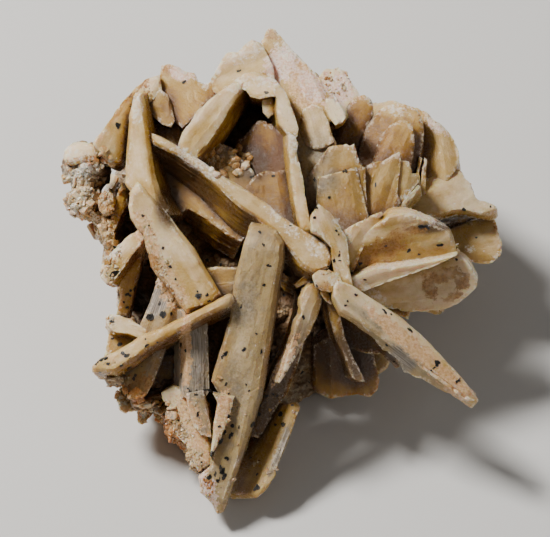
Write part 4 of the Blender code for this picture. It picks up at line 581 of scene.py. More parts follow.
# Black flecks on the blades: their place in the front view, length, width and turn in degrees.
FLECKS = [
    (-36.0, -1.5, 2.9, 1.1, 30), (-38.1, 7.3, 1.2, 0.8, 0), (-28.9, 1.2, 1.3, 0.9, 60),
    (-28.5, 3.2, 0.6, 0.5, 0), (-33.0, -5.9, 1.3, 0.7, -20), (-32.6, -4.9, 0.6, 0.5, 0),
    (-31.6, -4.4, 1.4, 0.5, 80), (-34.0, -7.5, 0.5, 0.5, 0), (-33.3, -8.8, 0.6, 0.5, 0),
    (-17.2, -6.1, 1.5, 1.1, -10), (-17.4, -5.1, 0.5, 0.4, 0), (-15.1, -5.9, 0.8, 0.6, 0),
    (-14.8, -7.3, 0.7, 0.4, 30), (-27.9, -11.0, 1.8, 1.2, -20), (-25.6, -10.6, 2.2, 1.3, 40),
    (-23.1, -9.6, 1.6, 0.5, 60), (-36.9, -11.9, 1.3, 0.5, -10), (-35.0, -17.1, 1.0, 0.8, 0),
    (-36.6, -15.8, 0.6, 0.4, 0), (-29.2, -15.9, 0.6, 0.4, 20), (-28.6, -17.2, 1.1, 0.35, 20),
    (-26.2, -16.5, 0.7, 0.3, 20), (-33.8, -19.5, 1.5, 0.8, -30), (-34.5, -21.8, 0.9, 0.5, 10),
    (-32.4, -22.2, 1.4, 0.7, 0), (-37.5, -21.4, 1.0, 0.5, 0), (-38.6, -20.3, 1.9, 0.9, 15),
    (-40.0, -21.3, 1.1, 0.8, 30), (-21.2, -17.2, 0.9, 0.8, 0), (-20.1, -18.6, 0.7, 0.6, 80),
    (-14.0, -13.7, 0.6, 0.5, 0), (-10.9, -19.0, 1.3, 0.6, 35), (-11.8, -19.8, 0.9, 0.5, 60),
    (-6.9, -18.2, 1.1, 0.6, 40), (-11.6, -10.8, 1.2, 0.35, 85), (-10.3, -11.5, 1.4, 0.35, 85),
    (-7.6, -8.5, 1.0, 0.3, 85), (-1.0, -18.8, 0.6, 0.6, 0), (-3.0, -18.6, 1.1, 0.35, 80),
    (-21.1, -24.1, 1.0, 0.4, 60), (-11.0, -26.0, 1.0, 0.4, 60), (-6.5, -26.0, 0.45, 0.4, 0),
    (-5.8, -27.4, 0.45, 0.4, 0), (-10.5, -28.0, 0.6, 0.4, 0), (-15.2, -27.3, 1.8, 0.4, -10),
    (-14.4, -28.6, 1.5, 0.5, 80), (-10.4, -33.2, 1.2, 0.6, 75), (-12.4, -35.4, 0.7, 0.5, 30),
    (-11.2, -36.5, 1.8, 0.5, 60), (-12.6, -39.2, 1.8, 0.6, 50), (-14.0, -41.3, 1.8, 0.45, 60),
    (-9.4, -35.0, 1.3, 0.6, 60), (-9.8, -37.2, 1.8, 0.5, 70), (-8.1, -35.6, 0.9, 0.3, 80),
    (-10.9, -42.6, 1.0, 0.7, -30), (-11.9, -45.6, 2.0, 0.9, 30), (-11.4, -46.8, 1.4, 0.7, 70),
    (-14.6, -46.9, 1.4, 0.9, 20), (-12.9, -47.7, 0.9, 0.6, 60), (-5.0, -35.0, 1.4, 0.8, 50),
    (-3.7, -32.8, 0.7, 0.7, 0), (-3.4, -30.9, 0.5, 0.5, 0), (-1.9, -28.8, 0.9, 0.5, 60),
    (-0.4, -28.3, 0.9, 0.35, -20), (0.4, -28.7, 0.7, 0.35, 10), (4.0, -30.7, 0.7, 0.5, 30),
    (1.3, -32.7, 1.3, 1.1, 0), (0.1, -35.2, 0.6, 0.5, 0), (1.6, -34.9, 0.5, 0.4, 0),
    (-5.5, -42.6, 0.6, 0.4, 0), (-4.0, -46.3, 0.5, 0.5, 0), (-4.2, -49.4, 1.4, 0.9, 20),
    (-16.6, -43.6, 0.6, 0.4, 60), (-14.6, -38.1, 0.9, 0.5, 0), (-17.3, -32.5, 1.6, 0.3, 75),
    (-22.2, -34.2, 1.2, 0.35, 0), (-21.8, -26.3, 0.8, 0.3, 0), (-19.6, -27.0, 0.5, 0.3, 0),
    (-3.5, 8.2, 0.7, 0.6, 0), (-2.7, 5.4, 1.0, 0.3, -50), (-1.3, 0.6, 1.0, 0.4, -10),
    (-2.5, -3.8, 0.7, 0.6, 20), (3.5, 9.6, 0.5, 0.35, 0), (8.9, 11.3, 1.0, 0.5, 35),
    (13.6, 8.6, 0.9, 0.35, -40), (14.2, 7.6, 0.5, 0.4, 0), (14.4, 3.3, 1.2, 0.35, 70),
    (13.2, 1.8, 0.9, 0.5, 60), (14.6, 1.8, 0.7, 0.3, 0), (11.9, 0.4, 0.5, 0.35, 0),
    (9.3, -3.9, 0.6, 0.5, 0), (18.0, -5.9, 0.8, 0.4, -20), (16.3, -7.3, 0.45, 0.45, 0),
    (15.8, -8.3, 0.8, 0.35, 10), (24.6, -9.6, 1.3, 0.35, -60), (26.0, -10.3, 0.5, 0.4, 0),
    (30.4, -13.9, 1.6, 0.4, -35), (25.2, -17.2, 1.0, 0.6, -20), (36.4, -21.3, 1.2, 1.0, 20),
    (35.4, -22.4, 1.2, 0.3, 45), (41.0, -25.2, 1.6, 0.35, 45), (33.4, 9.3, 2.3, 0.6, -5),
    (37.4, 5.4, 1.8, 0.6, 10), (30.0, 4.1, 1.3, 0.6, 25), (24.9, 5.1, 0.5, 0.35, 0),
    (32.3, 3.2, 0.7, 0.35, 10), (19.1, 1.0, 0.7, 0.7, 0), (20.2, -2.6, 0.8, 0.35, -15),
    (40.9, 1.9, 0.9, 0.6, 80), (6.4, -11.0, 0.9, 0.6, -60), (-4.2, -14.6, 0.45, 0.35, 0),
    (-35.4, 32.3, 1.3, 1.2, 0), (-38.4, 23.6, 1.4, 1.4, 0), (-38.0, 26.6, 0.9, 0.8, 0),
    (-20.6, 42.2, 0.9, 0.6, 60), (-19.4, 18.8, 0.5, 0.5, 0), (-16.3, 15.6, 0.9, 0.5, -40),
    (15.7, 21.9, 0.9, 0.9, 0), (9.0, 20.0, 0.5, 0.8, 0), (22.7, 18.8, 0.5, 1.1, -10),
    (12.2, 15.9, 0.6, 0.5, 0), (9.3, 13.6, 0.6, 0.5, 0), (-5.2, 20.6, 1.0, 0.6, 10),
    (42.8, 13.4, 0.9, 0.5, 0), (48.8, 14.0, 0.6, 0.4, 0), (-0.4, 20.8, 0.9, 0.5, 0),
    (45.6, 7.0, 0.5, 0.4, 0), (-42.4, 13.2, 1.0, 0.8, 0), (-41.4, 9.0, 0.7, 0.7, 0),
    (-29.6, 11.9, 1.1, 0.5, 15), (-28.4, 9.7, 0.5, 0.4, 0), (-25.2, 4.6, 0.7, 0.5, -30),
    (-23.6, 0.4, 0.8, 0.5, 0), (-22.4, -2.4, 0.6, 0.4, 0), (-8.2, 44.6, 1.0, 0.4, 20),
]


def deselect_all():
    bpy.ops.object.select_all(action="DESELECT")


def placed(name, data):
    obj = bpy.data.objects.new(name, data)
    bpy.context.scene.collection.objects.link(obj)
    return obj


def keep(mesh, label, values, kind="FLOAT", domain="POINT"):
    """Keeps values on the points or face corners of a mesh, under a name that the looks can read."""
    own = mesh.attributes.new(label, kind, domain)
    slot = "value" if kind == "FLOAT" else "vector"
    own.data.foreach_set(slot, values.astype(np.float32).ravel())


def numbers(items, name, width, kind=float):
    """One property of all the items of a mesh, as rows of numbers."""
    values = np.empty(len(items) * width, kind)
    items.foreach_get(name, values)
    return values.reshape(-1, width)


def piece_from(name, shape):
    """A piece from a shape, its faces turned outwards."""
    bmesh.ops.recalc_face_normals(shape, faces=shape.faces)
    mesh = bpy.data.meshes.new(name)
    shape.to_mesh(mesh)
    shape.free()
    return placed(name, mesh)


def evaluated_mesh(obj):
    bpy.context.view_layer.update()
    graph = bpy.context.evaluated_depsgraph_get()
    return bpy.data.meshes.new_from_object(obj.evaluated_get(graph))


def rounded_off(outline, rounds):
    """An outline whose corners are cut a few times, until it runs smoothly."""
    for index in range(rounds):
        cut = []
        for one, other in zip(outline, outline[1:] + outline[:1]):
            for share in (0.25, 0.75):
                cut.append(tuple(a + (b - a) * share for a, b in zip(one, other)))
        outline = cut
    return outline


def domed(shape, rise):
    """Bends a plate so that its middle stands up and its edges fall away, like a shell."""
    half_x = max(abs(vert.co.x) for vert in shape.verts)
    half_y = max(abs(vert.co.y) for vert in shape.verts)
    for vert in shape.verts:
        far = 0.6 * (vert.co.y / half_y) ** 2 + 0.4 * (vert.co.x / half_x) ** 2
        vert.co.z += rise * (0.4 - far)


def long_way(outline):
    """The middle of an outline and the angle of its longest direction."""
    points = np.array(outline, float)
    middle = points.mean(axis=0)
    spread = np.cov((points - middle).T)
    values, ways = np.linalg.eigh(spread)
    along = ways[:, int(np.argmax(values))]
    return middle, math.atan2(along[1], along[0])


def flat_plate(name, outline, thickness, chisel):
    """A closed plate from a flat outline, given a thickness and bevelled edges."""
    drawn = bpy.data.curves.new(name, "CURVE")
    drawn.dimensions = "2D"
    drawn.fill_mode = "BOTH"
    drawn.extrude = thickness / 2 - chisel
    drawn.bevel_depth = chisel
    drawn.bevel_resolution = 0
    drawn.offset = -chisel
    spline = drawn.splines.new("POLY")
    spline.points.add(len(outline) - 1)
    for point, (across, along) in zip(spline.points, outline):
        point.co = (across, along, 0, 1)
    spline.use_cyclic_u = True
    curve = placed(name + "_outline", drawn)
    mesh = evaluated_mesh(curve)
    bpy.data.objects.remove(curve)
    shape = bmesh.new()
    shape.from_mesh(mesh)
    bmesh.ops.remove_doubles(shape, verts=shape.verts, dist=0.01)
    bmesh.ops.dissolve_limit(shape, angle_limit=0.02, verts=shape.verts, edges=shape.edges)
    bmesh.ops.recalc_face_normals(shape, faces=shape.faces)
    return shape


def cut_into_cells(shape, steps):
    """Cuts every face along evenly spaced planes, so that its relief has points to move."""
    for axis, step in enumerate(steps):
        values = [vert.co[axis] for vert in shape.verts]
        low, high = min(values), max(values)
        count = max(1, round((high - low) / step))
        for index in range(1, count):
            spot = Vector((0, 0, 0))
            spot[axis] = low + (high - low) * index / count
            normal = Vector((0, 0, 0))
            normal[axis] = 1
            geometry = list(shape.verts) + list(shape.edges) + list(shape.faces)
            bmesh.ops.bisect_plane(shape, geom=geometry, dist=0.02, plane_co=spot, plane_no=normal)


def faceted(shape, seed):
    """Slants the upper side away from two ridges along the blade and from its ends, so that it
    falls into long flat facets."""
    dice = np.random.default_rng(seed)
    half = [max(abs(vert.co[axis]) for vert in shape.verts) for axis in range(3)]
    low_ridge = dice.uniform(-0.7, -0.2)
    high_ridge = dice.uniform(0.2, 0.7)
    low_slope, high_slope = dice.uniform(0.12, 0.42, size=2)
    for ridge in (low_ridge, high_ridge):
        geometry = list(shape.verts) + list(shape.edges) + list(shape.faces)
        bmesh.ops.bisect_plane(
            shape, geom=geometry, dist=0.02, plane_co=(0, ridge * half[1], 0), plane_no=(0, 1, 0))
    for vert in shape.verts:
        across = vert.co.y / half[1]
        drop = max(0, low_ridge - across) * low_slope + max(0, across - high_ridge) * high_slope
        drop = drop * half[1] + max(0, abs(vert.co.x) / half[0] - 0.86) * half[0] * 0.3
        upper = min(1, max(0, (vert.co.z / half[2] + 1) / 2))
        vert.co.z -= min(drop, 0.7 * half[2]) * upper


def carve(shape, seed, ragged):
    """Growth lines and steps on the broad faces, layered sides and chipped edges, in the plate's
    own axes: x runs along the blade, z through it."""
    shape.normal_update()
    offset = Vector((seed * 17.3, seed * 7.1, seed * 3.7))
    moves = []
    for vert in shape.verts:
        place = vert.co + offset
        facing = abs(vert.normal.z)
        corner = min(1, max(0, vert.calc_shell_factor() - 1) / 0.3)
        lines = noise.noise(Vector((place.x * 0.06, place.y * 1.3, seed)))
        terrace = noise.noise(Vector((place.x * 0.06, place.y * 0.3, seed + 9)))
        terrace = math.floor(terrace * 5) / 5 + 0.1
        swell = noise.noise(place * 0.16)
        broad = 0.08 * lines + 0.6 * terrace + 0.1 * swell
        layers = noise.noise(Vector((place.x * 0.14, place.y * 0.14, place.z * 1.5)))
        layers = math.floor(layers * 4) / 4 + 0.12
        notch = noise.noise(place * 0.5)
        side = 0.24 * layers + 0.14 * notch
        chip = noise.noise(place * 0.9 + Vector((3, 5, 7)))
        bite = noise.noise(place * 0.33 + Vector((9, 1, 4)))
        edge = -0.03 - 0.9 * ragged * max(0, chip - 0.16) - 1.1 * ragged * max(0, bite - 0.24)
        lift = broad * facing + side * ragged * (1 - facing)
        moves.append(vert.normal * (lift * (1 - corner) + edge * corner))
    for vert, move in zip(shape.verts, moves):
        vert.co += move


def blade_piece(name, outline, thickness, chisel, matrix, seed, ragged=1.0):
    """A blade at its place, with its own axes and its tints kept on the corners of its faces."""
    if name in SHELLS:
        outline = rounded_off(outline, 2)
    middle, angle = long_way(outline)
    turned = Matrix.Rotation(-angle, 2)
    flat = [tuple(turned @ (Vector(point) - Vector(middle))) for point in outline]
    shape = flat_plate(name, flat, thickness, chisel)
    cut_into_cells(shape, (CELL, CELL, LAYER))
    if name not in SHELLS:
        faceted(shape, seed)
    carve(shape, seed, ragged)
    domed(shape, SHELLS.get(name, 0))
    bmesh.ops.triangulate(shape, faces=shape.faces)
    shift = Vector((seed * 31.7, seed * 13.3, seed * 5.9))
    grain = [corner.vert.co + shift for face in shape.faces for corner in face.loops]
    back = Matrix.Translation(Vector((middle[0], middle[1], 0))) @ Matrix.Rotation(angle, 4, "Z")
    shape.transform(Matrix.Scale(MM, 4) @ matrix @ back)
    mesh = bpy.data.meshes.new(name)
    shape.to_mesh(mesh)
    shape.free()
    keep(mesh, "grain", np.array(grain), "FLOAT_VECTOR", "CORNER")
    for label, value in zip(TINT_NAMES, TINTS.get(name, PLAIN_TINT)):
        keep(mesh, label, np.full(len(mesh.loops), value), "FLOAT", "CORNER")
    return placed(name, mesh)


def view_blade(spec, seed):
    """A blade of the front view: its outline leaned on its plane, its thickness run along its sweep."""
    outline, depth, lean = SHELL_SHAPES.get(spec["name"], (spec["outline"], spec["depth"], spec["lean"]))
    middle_u = sum(u for u, v in outline) / len(outline)
    middle_v = sum(v for u, v in outline) / len(outline)
    lean_u, lean_v = lean
    depth_at_zero = depth - lean_u * middle_u - lean_v * middle_v
    sweep = row_vector(*spec["sweep"])
    columns = (row_vector(1, 0, lean_u), row_vector(0, 1, lean_v), -sweep.normalized())
    matrix = Matrix(columns).transposed().to_4x4()
    matrix.translation = row_point(0, 0, depth_at_zero) + sweep / 2
    return blade_piece(spec["name"], outline, sweep.length, spec["chisel"], matrix, seed)


def rim_blade(index, blade, seed):
    """A blade of the back or sides, broad and straight, with a slanted chisel tip."""
    start, tip, roll, width, thickness = blade
    length = (Vector(tip) - Vector(start)).length
    half = width / 2
    outline = [
        (0, -half), (0.82 * length, -half), (0.97 * length, -0.3 * half), (length, 0.2 * half),
        (0.9 * length, half), (0.25 * length, 1.1 * half), (0, 0.9 * half)]
    along = (Vector(tip) - Vector(start)).normalized()
    level = along.cross(Vector((0, 0, 1))).normalized()
    across = Matrix.Rotation(math.radians(roll), 3, along) @ level
    matrix = Matrix((along, across, along.cross(across))).transposed().to_4x4()
    matrix.translation = Vector(start)
    return blade_piece(f"rim_blade_{index:02d}", outline, thickness, RIM_CHISEL, matrix, seed)


def fused(name, pieces):
    """Blades that grew through each other, joined into one closed piece."""
    others = bpy.data.collections.new(name + "_parts")
    for piece in pieces[1:]:
        bpy.context.scene.collection.objects.unlink(piece)
        others.objects.link(piece)
    join = pieces[0].modifiers.new("join", "BOOLEAN")
    join.operation = "UNION"
    join.operand_type = "COLLECTION"
    join.collection = others
    join.solver = "MANIFOLD"
    mesh = evaluated_mesh(pieces[0])
    mesh.name = name
    for piece in pieces:
        bpy.data.objects.remove(piece)
    bpy.data.collections.remove(others)
    return placed(name, mesh)


def lump(middle, axes, radii):
    """A rounded lump with an uneven surface, its radii along the three given axes."""
    deselect_all()
    bpy.ops.mesh.primitive_ico_sphere_add(subdivisions=5, radius=1, location=(0, 0, 0))
    obj = bpy.context.active_object
    for vert in obj.data.vertices:
        spot = sum((axis * (radius * part) for axis, radius, part in zip(axes, radii, vert.co)), Vector())
        place = middle + spot
        swell = 1 + 0.3 * noise.noise(place * 0.06) + 0.15 * noise.noise(place * 0.18)
        vert.co = (middle + spot * swell) * MM
    return obj


def rock_piece():
    """The matrix and the massive barite over it: lumps run together, roughened and cut flat below."""
    lumps = [lump(row_point(*middle), (RIGHT, UP_VIEW, TO_VIEWER), radii) for middle, radii in VIEW_LUMPS]
    own_axes = (Vector((1, 0, 0)), Vector((0, 1, 0)), Vector((0, 0, 1)))
    lumps += [lump(Vector(middle), own_axes, radii) for middle, radii in FOOT_LUMPS]
    deselect_all()
    for obj in lumps:
        obj.select_set(True)
    bpy.context.view_layer.objects.active = lumps[0]
    bpy.ops.object.join()
    rock = bpy.context.active_object
    rock.name = "matrix_rock"
    remesh = rock.modifiers.new("run_together", "REMESH")
    remesh.mode = "VOXEL"
    remesh.voxel_size = ROCK_VOXEL * MM
    bpy.ops.object.modifier_apply(modifier=remesh.name)
    mesh = rock.data
    shape = bmesh.new()
    shape.from_mesh(mesh)
    shape.normal_update()
    for vert in shape.verts:
        spot = vert.co / MM
        facets = noise.voronoi(spot * 0.22)[0]
        coarse = (facets[1] - facets[0]) * 1.5 - 0.7
        blocks = noise.voronoi(spot * 0.42 + Vector((5, 9, 2)))[0]
        medium = min(0.5, blocks[1] - blocks[0]) * 2 - 0.5
        grains = noise.voronoi(spot * 0.8)[0]
        sugar = 0.45 - grains[0]
        wave = noise.fractal(spot * 0.3, 1.0, 2.1, 3)
        lift = 0.9 * coarse + 0.7 * medium + 0.6 * sugar + 0.5 * wave - 0.4
        vert.co += vert.normal * lift * MM
    cut = bmesh.ops.bisect_plane(
        shape, geom=list(shape.verts) + list(shape.edges) + list(shape.faces),
        plane_co=(0, 0, 0), plane_no=(0, 0, 1), clear_inner=True)
    rim = [item for item in cut["geom_cut"] if isinstance(item, bmesh.types.BMEdge)]
    bmesh.ops.holes_fill(shape, edges=rim)
    bmesh.ops.recalc_face_normals(shape, faces=shape.faces)
    bmesh.ops.triangulate(shape, faces=shape.faces)
    shape.to_mesh(mesh)
    shape.free()
    return rock


def tree_of(pieces):
    """One search tree over the faces of several pieces."""
    points = []
    faces = []
    for piece in pieces:
        start = len(points)
        points += [vert.co / MM for vert in piece.data.vertices]
        faces += [[start + index for index in face.vertices] for face in piece.data.polygons]
    return BVHTree.FromPolygons(points, faces)


def grain_points(dice, stretch):
    """The corners of one small broken crystal, its size about one."""
    points = []
    for index in range(GRAIN_POINTS):
        way = dice.normal(size=3)
        way /= np.linalg.norm(way)
        points.append(Vector(way * stretch * dice.uniform(0.8, 1.15)))
    return points


def tablet_points(dice):
    """The corners of one small tabular crystal with a chisel edge, its size about one."""
    wide = dice.uniform(0.7, 1.0)
    deep = dice.uniform(0.5, 0.9)
    thin = dice.uniform(0.16, 0.34)
    points = []
    for across in (-wide, wide):
        for along in (-deep, deep):
            for up in (-thin, thin):
                points.append(Vector((across * 0.8, along, up)))
                points.append(Vector((across, along * 0.6, up * 0.7)))
    return points


def lobe_points(dice):
    """Points of one small rounded crystal, a little flattened, its size about one."""
    points = []
    for way in even_directions(LOBE_POINTS):
        jitter = dice.uniform(0.86, 1.06)
        points.append(Vector((way[0] * jitter, way[1] * 0.9 * jitter, way[2] * 0.62 * jitter)))
    return points


def add_crystallite(shape, shade_layer, points, shade):
    """The closed hull of some points, added to a shape with its own shade."""
    verts = [shape.verts.new(point * MM) for point in points]
    hull = bmesh.ops.convex_hull(shape, input=verts)
    inside = [item for item in hull["geom_interior"] if isinstance(item, bmesh.types.BMVert)]
    bmesh.ops.delete(shape, geom=inside, context="VERTS")
    for vert in verts:
        if vert.is_valid:
            vert[shade_layer] = shade


def sit_on(points, size, spot, normal, dice, sink):
    """Turns a small crystal at random about the way that the surface faces, and sits it there."""
    tilt = Vector(dice.normal(size=3)) * 0.55
    up = (normal + tilt).normalized()
    spin = Matrix.Rotation(dice.uniform(0, 2 * math.pi), 3, up)
    frame_turn = spin @ up.to_track_quat("Z", "Y").to_matrix()
    place = spot - normal * size * sink
    return [place + frame_turn @ (point * size) for point in points]


def crust_piece(tree):
    """Small sugary grains and tablets grown on the crust, dense where the zones ask for them."""
    dice = np.random.default_rng(11)
    shape = bmesh.new()
    shades = shape.verts.layers.float.new("shade")
    for kind, u, v, half_u, half_v, count, small, large in GRAIN_ZONES:
        for index in range(count):
            angle = dice.uniform(0, 2 * math.pi)
            reach = math.sqrt(dice.uniform(0, 1))
            across = u + half_u * reach * math.cos(angle)
            start = row_point(across, v + half_v * reach * math.sin(angle), RAY_START)
            spot, normal, face, away = tree.ray_cast(start, -TO_VIEWER)
            if spot is None or (spot + FOOT).dot(TO_VIEWER) < PATCH_DEPTH:
                continue
            seat_grain(shape, shades, kind, spot, normal, dice, small, large)
    for kind, x, y, z, spread, way, count, small, large in SIDE_ZONES:
        for index in range(count):
            start = Vector((x, y, z)) + Vector(dice.normal(size=3)) * spread - Vector(way) * RAY_START
            spot, normal, face, away = tree.ray_cast(start, Vector(way))
            if spot is None or spot.z < LOWEST_GRAIN:
                continue
            seat_grain(shape, shades, kind, spot, normal, dice, small, large)
    shape.normal_update()
    return piece_from("crust_grains", shape)


def seat_grain(shape, shades, kind, spot, normal, dice, small, large):
    size = small * (large / small) ** (dice.uniform(0, 1) ** 1.6)
    if kind == "tablet":
        points = tablet_points(dice)
        sink = dice.uniform(-0.3, 0.3)
    elif kind == "lobe":
        points = lobe_points(dice)
        sink = dice.uniform(0.0, 0.5)
    else:
        points = grain_points(dice, np.array((1.0, 0.85, 0.75)))
        sink = dice.uniform(0.1, 0.6)
    add_crystallite(shape, shades, sit_on(points, size, spot, normal, dice, sink), dice.uniform(0, 1))


def fleck_piece(tree):
    """Thin black angular flecks, lying on the faces at the places that the table gives."""
    dice = np.random.default_rng(5)
    shape = bmesh.new()
    shades = shape.verts.layers.float.new("shade")
    for u, v, length, width, turn in FLECKS:
        start = row_point(u, v, RAY_START)
        spot, normal, face, away = tree.ray_cast(start, -TO_VIEWER)
        if spot is None:
            continue
        way = RIGHT * math.cos(math.radians(turn)) + UP_VIEW * math.sin(math.radians(turn))
        along = (way - normal * way.dot(normal)).normalized()
        across = normal.cross(along)
        for shard in range(FLECK_SHARDS):
            slide = dice.uniform(-0.42, 0.42) * length
            aside = dice.uniform(-0.3, 0.3) * width
            long_half = length * dice.uniform(0.2, 0.42)
            wide_half = width * dice.uniform(0.35, 0.7)
            lean = dice.uniform(-0.7, 0.7)
            points = []
            for index in range(SHARD_CORNERS):
                angle = 2 * math.pi * (index + dice.uniform(-0.4, 0.4)) / SHARD_CORNERS
                part = Vector((math.cos(angle) * long_half, math.sin(angle) * wide_half))
                part = Matrix.Rotation(lean, 2) @ part
                flat = along * (slide + part.x) + across * (aside + part.y)
                points.append(spot + flat + normal * FLECK_TOP)
                points.append(spot + flat * 0.9 - normal * FLECK_ROOT)
            add_crystallite(shape, shades, points, dice.uniform(0, 1))
    return piece_from("black_flecks", shape)


def even_directions(count):
    """Directions spread evenly over the sphere."""
    index = np.arange(count) + 0.5
    height = 1 - 2 * index / count
    turn = math.pi * (1 + math.sqrt(5)) * index
    flat = np.sqrt(1 - height ** 2)
    return np.stack((flat * np.cos(turn), flat * np.sin(turn), height), axis=1)


def softened(values, edges, rounds):
    """Values on points, averaged with their neighbours' a few times."""
    for index in range(rounds):
        total = values.copy()
        number = np.ones(len(values))
        for one, other in ((0, 1), (1, 0)):
            np.add.at(total, edges[:, one], values[edges[:, other]])
            np.add.at(number, edges[:, one], 1)
        values = total / number
    return values


def sharp_edges(mesh):
    """How sharp the sharpest outward edge at each point is, from 0 to 1."""
    shape = bmesh.new()
    shape.from_mesh(mesh)
    near = np.zeros(len(shape.verts))
    for edge in shape.edges:
        angle = edge.calc_face_angle_signed(0)
        if angle > SHARP_EDGE:
            worn = min(1, (angle - SHARP_EDGE) / SHARP_RANGE)
            for vert in edge.verts:
                near[vert.index] = max(near[vert.index], worn)
    shape.free()
    return near


def give_attributes(piece, tree, with_edges):
    """Keeps on the piece's points how sheltered they are, how far they turn away from the painted light, how
    sharp their edges are (for painted wear and edge highlights), and which patches they lie in.
    """
    mesh = piece.data
    count = len(mesh.vertices)
    edges = numbers(mesh.edges, "vertices", 2, np.int32)
    places = numbers(mesh.vertices, "co", 3) / MM
    normals = numbers(mesh.vertices, "normal", 3)
    ways = even_directions(SHELTER_WAYS)
    shelter = np.zeros(count)
    facing = normals @ ways.T
    for index in range(count):
        start = Vector(places[index]) + Vector(normals[index]) * RAY_LIFT
        covered = 0.0
        weight = 0.0
        for number in np.nonzero(facing[index] > RAY_FACING)[0]:
            part = facing[index, number]
            weight += part
            away = tree.ray_cast(start, Vector(ways[number]), SHELTER_REACH)[3]
            if away is not None:
                covered += part * (1 - 0.6 * away / SHELTER_REACH)
        shelter[index] = covered / max(weight, 0.001)
    # Painted light and shade: faces turned from this way are marked to be painted amber as if in shade, and
    # faces turned towards it paler as if lit.
    painted_light_from = np.array(PAINTED_LIGHT_FROM) / np.linalg.norm(PAINTED_LIGHT_FROM)
    lee = np.clip(0.5 - 0.62 * (normals @ painted_light_from), 0, 1)
    kept = {"shelter": softened(shelter, edges, 2), "lee": softened(lee, edges, 2)}
    if with_edges:
        kept["worn"] = softened(sharp_edges(mesh), edges, 1)
    view = np.array((RIGHT, UP_VIEW, TO_VIEWER))
    seen = (places + np.array(FOOT)) @ view.T
    in_front = np.clip((seen[:, 2] - PATCH_DEPTH) / PATCH_FADE, 0, 1)
    for kind, spots in PATCHES.items():
        inside = np.zeros(count)
        for u, v, half_u, half_v, turn in spots:
            angle = math.radians(turn)
            across = (seen[:, 0] - u) * math.cos(angle) + (seen[:, 1] - v) * math.sin(angle)
            along = (seen[:, 1] - v) * math.cos(angle) - (seen[:, 0] - u) * math.sin(angle)
            far = np.sqrt((across / half_u) ** 2 + (along / half_v) ** 2)
            inside = np.maximum(inside, np.clip(PATCH_EDGE - far, 0, 1) * in_front)
        kept[kind + "_patch"] = inside
    for label, values in kept.items():
        keep(mesh, label, values)


def camera_and_light():
    """A long lens at the photograph's height, so that the view is nearly parallel."""
    aim = row_point(0, 0, -3) * MM
    data = bpy.data.cameras.new("view_camera")
    data.sensor_width = SENSOR_WIDTH
    data.lens = SENSOR_WIDTH * CAMERA_AWAY / (VIEW_WIDTH * PIXEL * MM)
    data.clip_start = 0.05
    camera = placed("view_camera", data)
    camera.location = aim + TO_VIEWER * CAMERA_AWAY
    camera.rotation_euler = (math.pi / 2 - VIEW_ELEVATION, 0, 0)
    bpy.context.scene.camera = camera


def soft_light(name, place, size, power, colour):
    data = bpy.data.lights.new(name, "AREA")
    data.shape = "SQUARE"
    data.size = size
    data.energy = power
    data.color = colour
    light = placed(name, data)
    light.location = place
    light.rotation_euler = (Vector((0, 0, 0.03)) - Vector(place)).to_track_quat("-Z", "Y").to_euler()


def studio():
    deselect_all()
    bpy.ops.mesh.primitive_plane_add(size=6, location=(0, 0, 0))
    floor = bpy.context.active_object
    floor.name = "studio_floor"
    sheet = Sheet("pale_floor")
    cloud = sheet.noise(sheet.millimetres(), 0.004, 2)
    sheet.feed("Base Color", sheet.mix(cloud, (0.70, 0.69, 0.67), (0.74, 0.73, 0.71)))
    sheet.fix("Roughness", 0.75)
    floor.data.materials.append(sheet.look)
    world = bpy.data.worlds.new("soft_room")
    bpy.context.scene.world = world
    world.use_nodes = True
    world.node_tree.nodes["Background"].inputs["Color"].default_value = (1.0, 0.98, 0.95, 1)
    world.node_tree.nodes["Background"].inputs["Strength"].default_value = 0.11
    soft_light("key_light", (-0.5, 0.28, 0.78), 0.2, 14.5, (1.0, 0.98, 0.95))
    soft_light("fill_light", (0.7, -0.5, 0.7), 0.8, 1.3, (1.0, 0.97, 0.94))


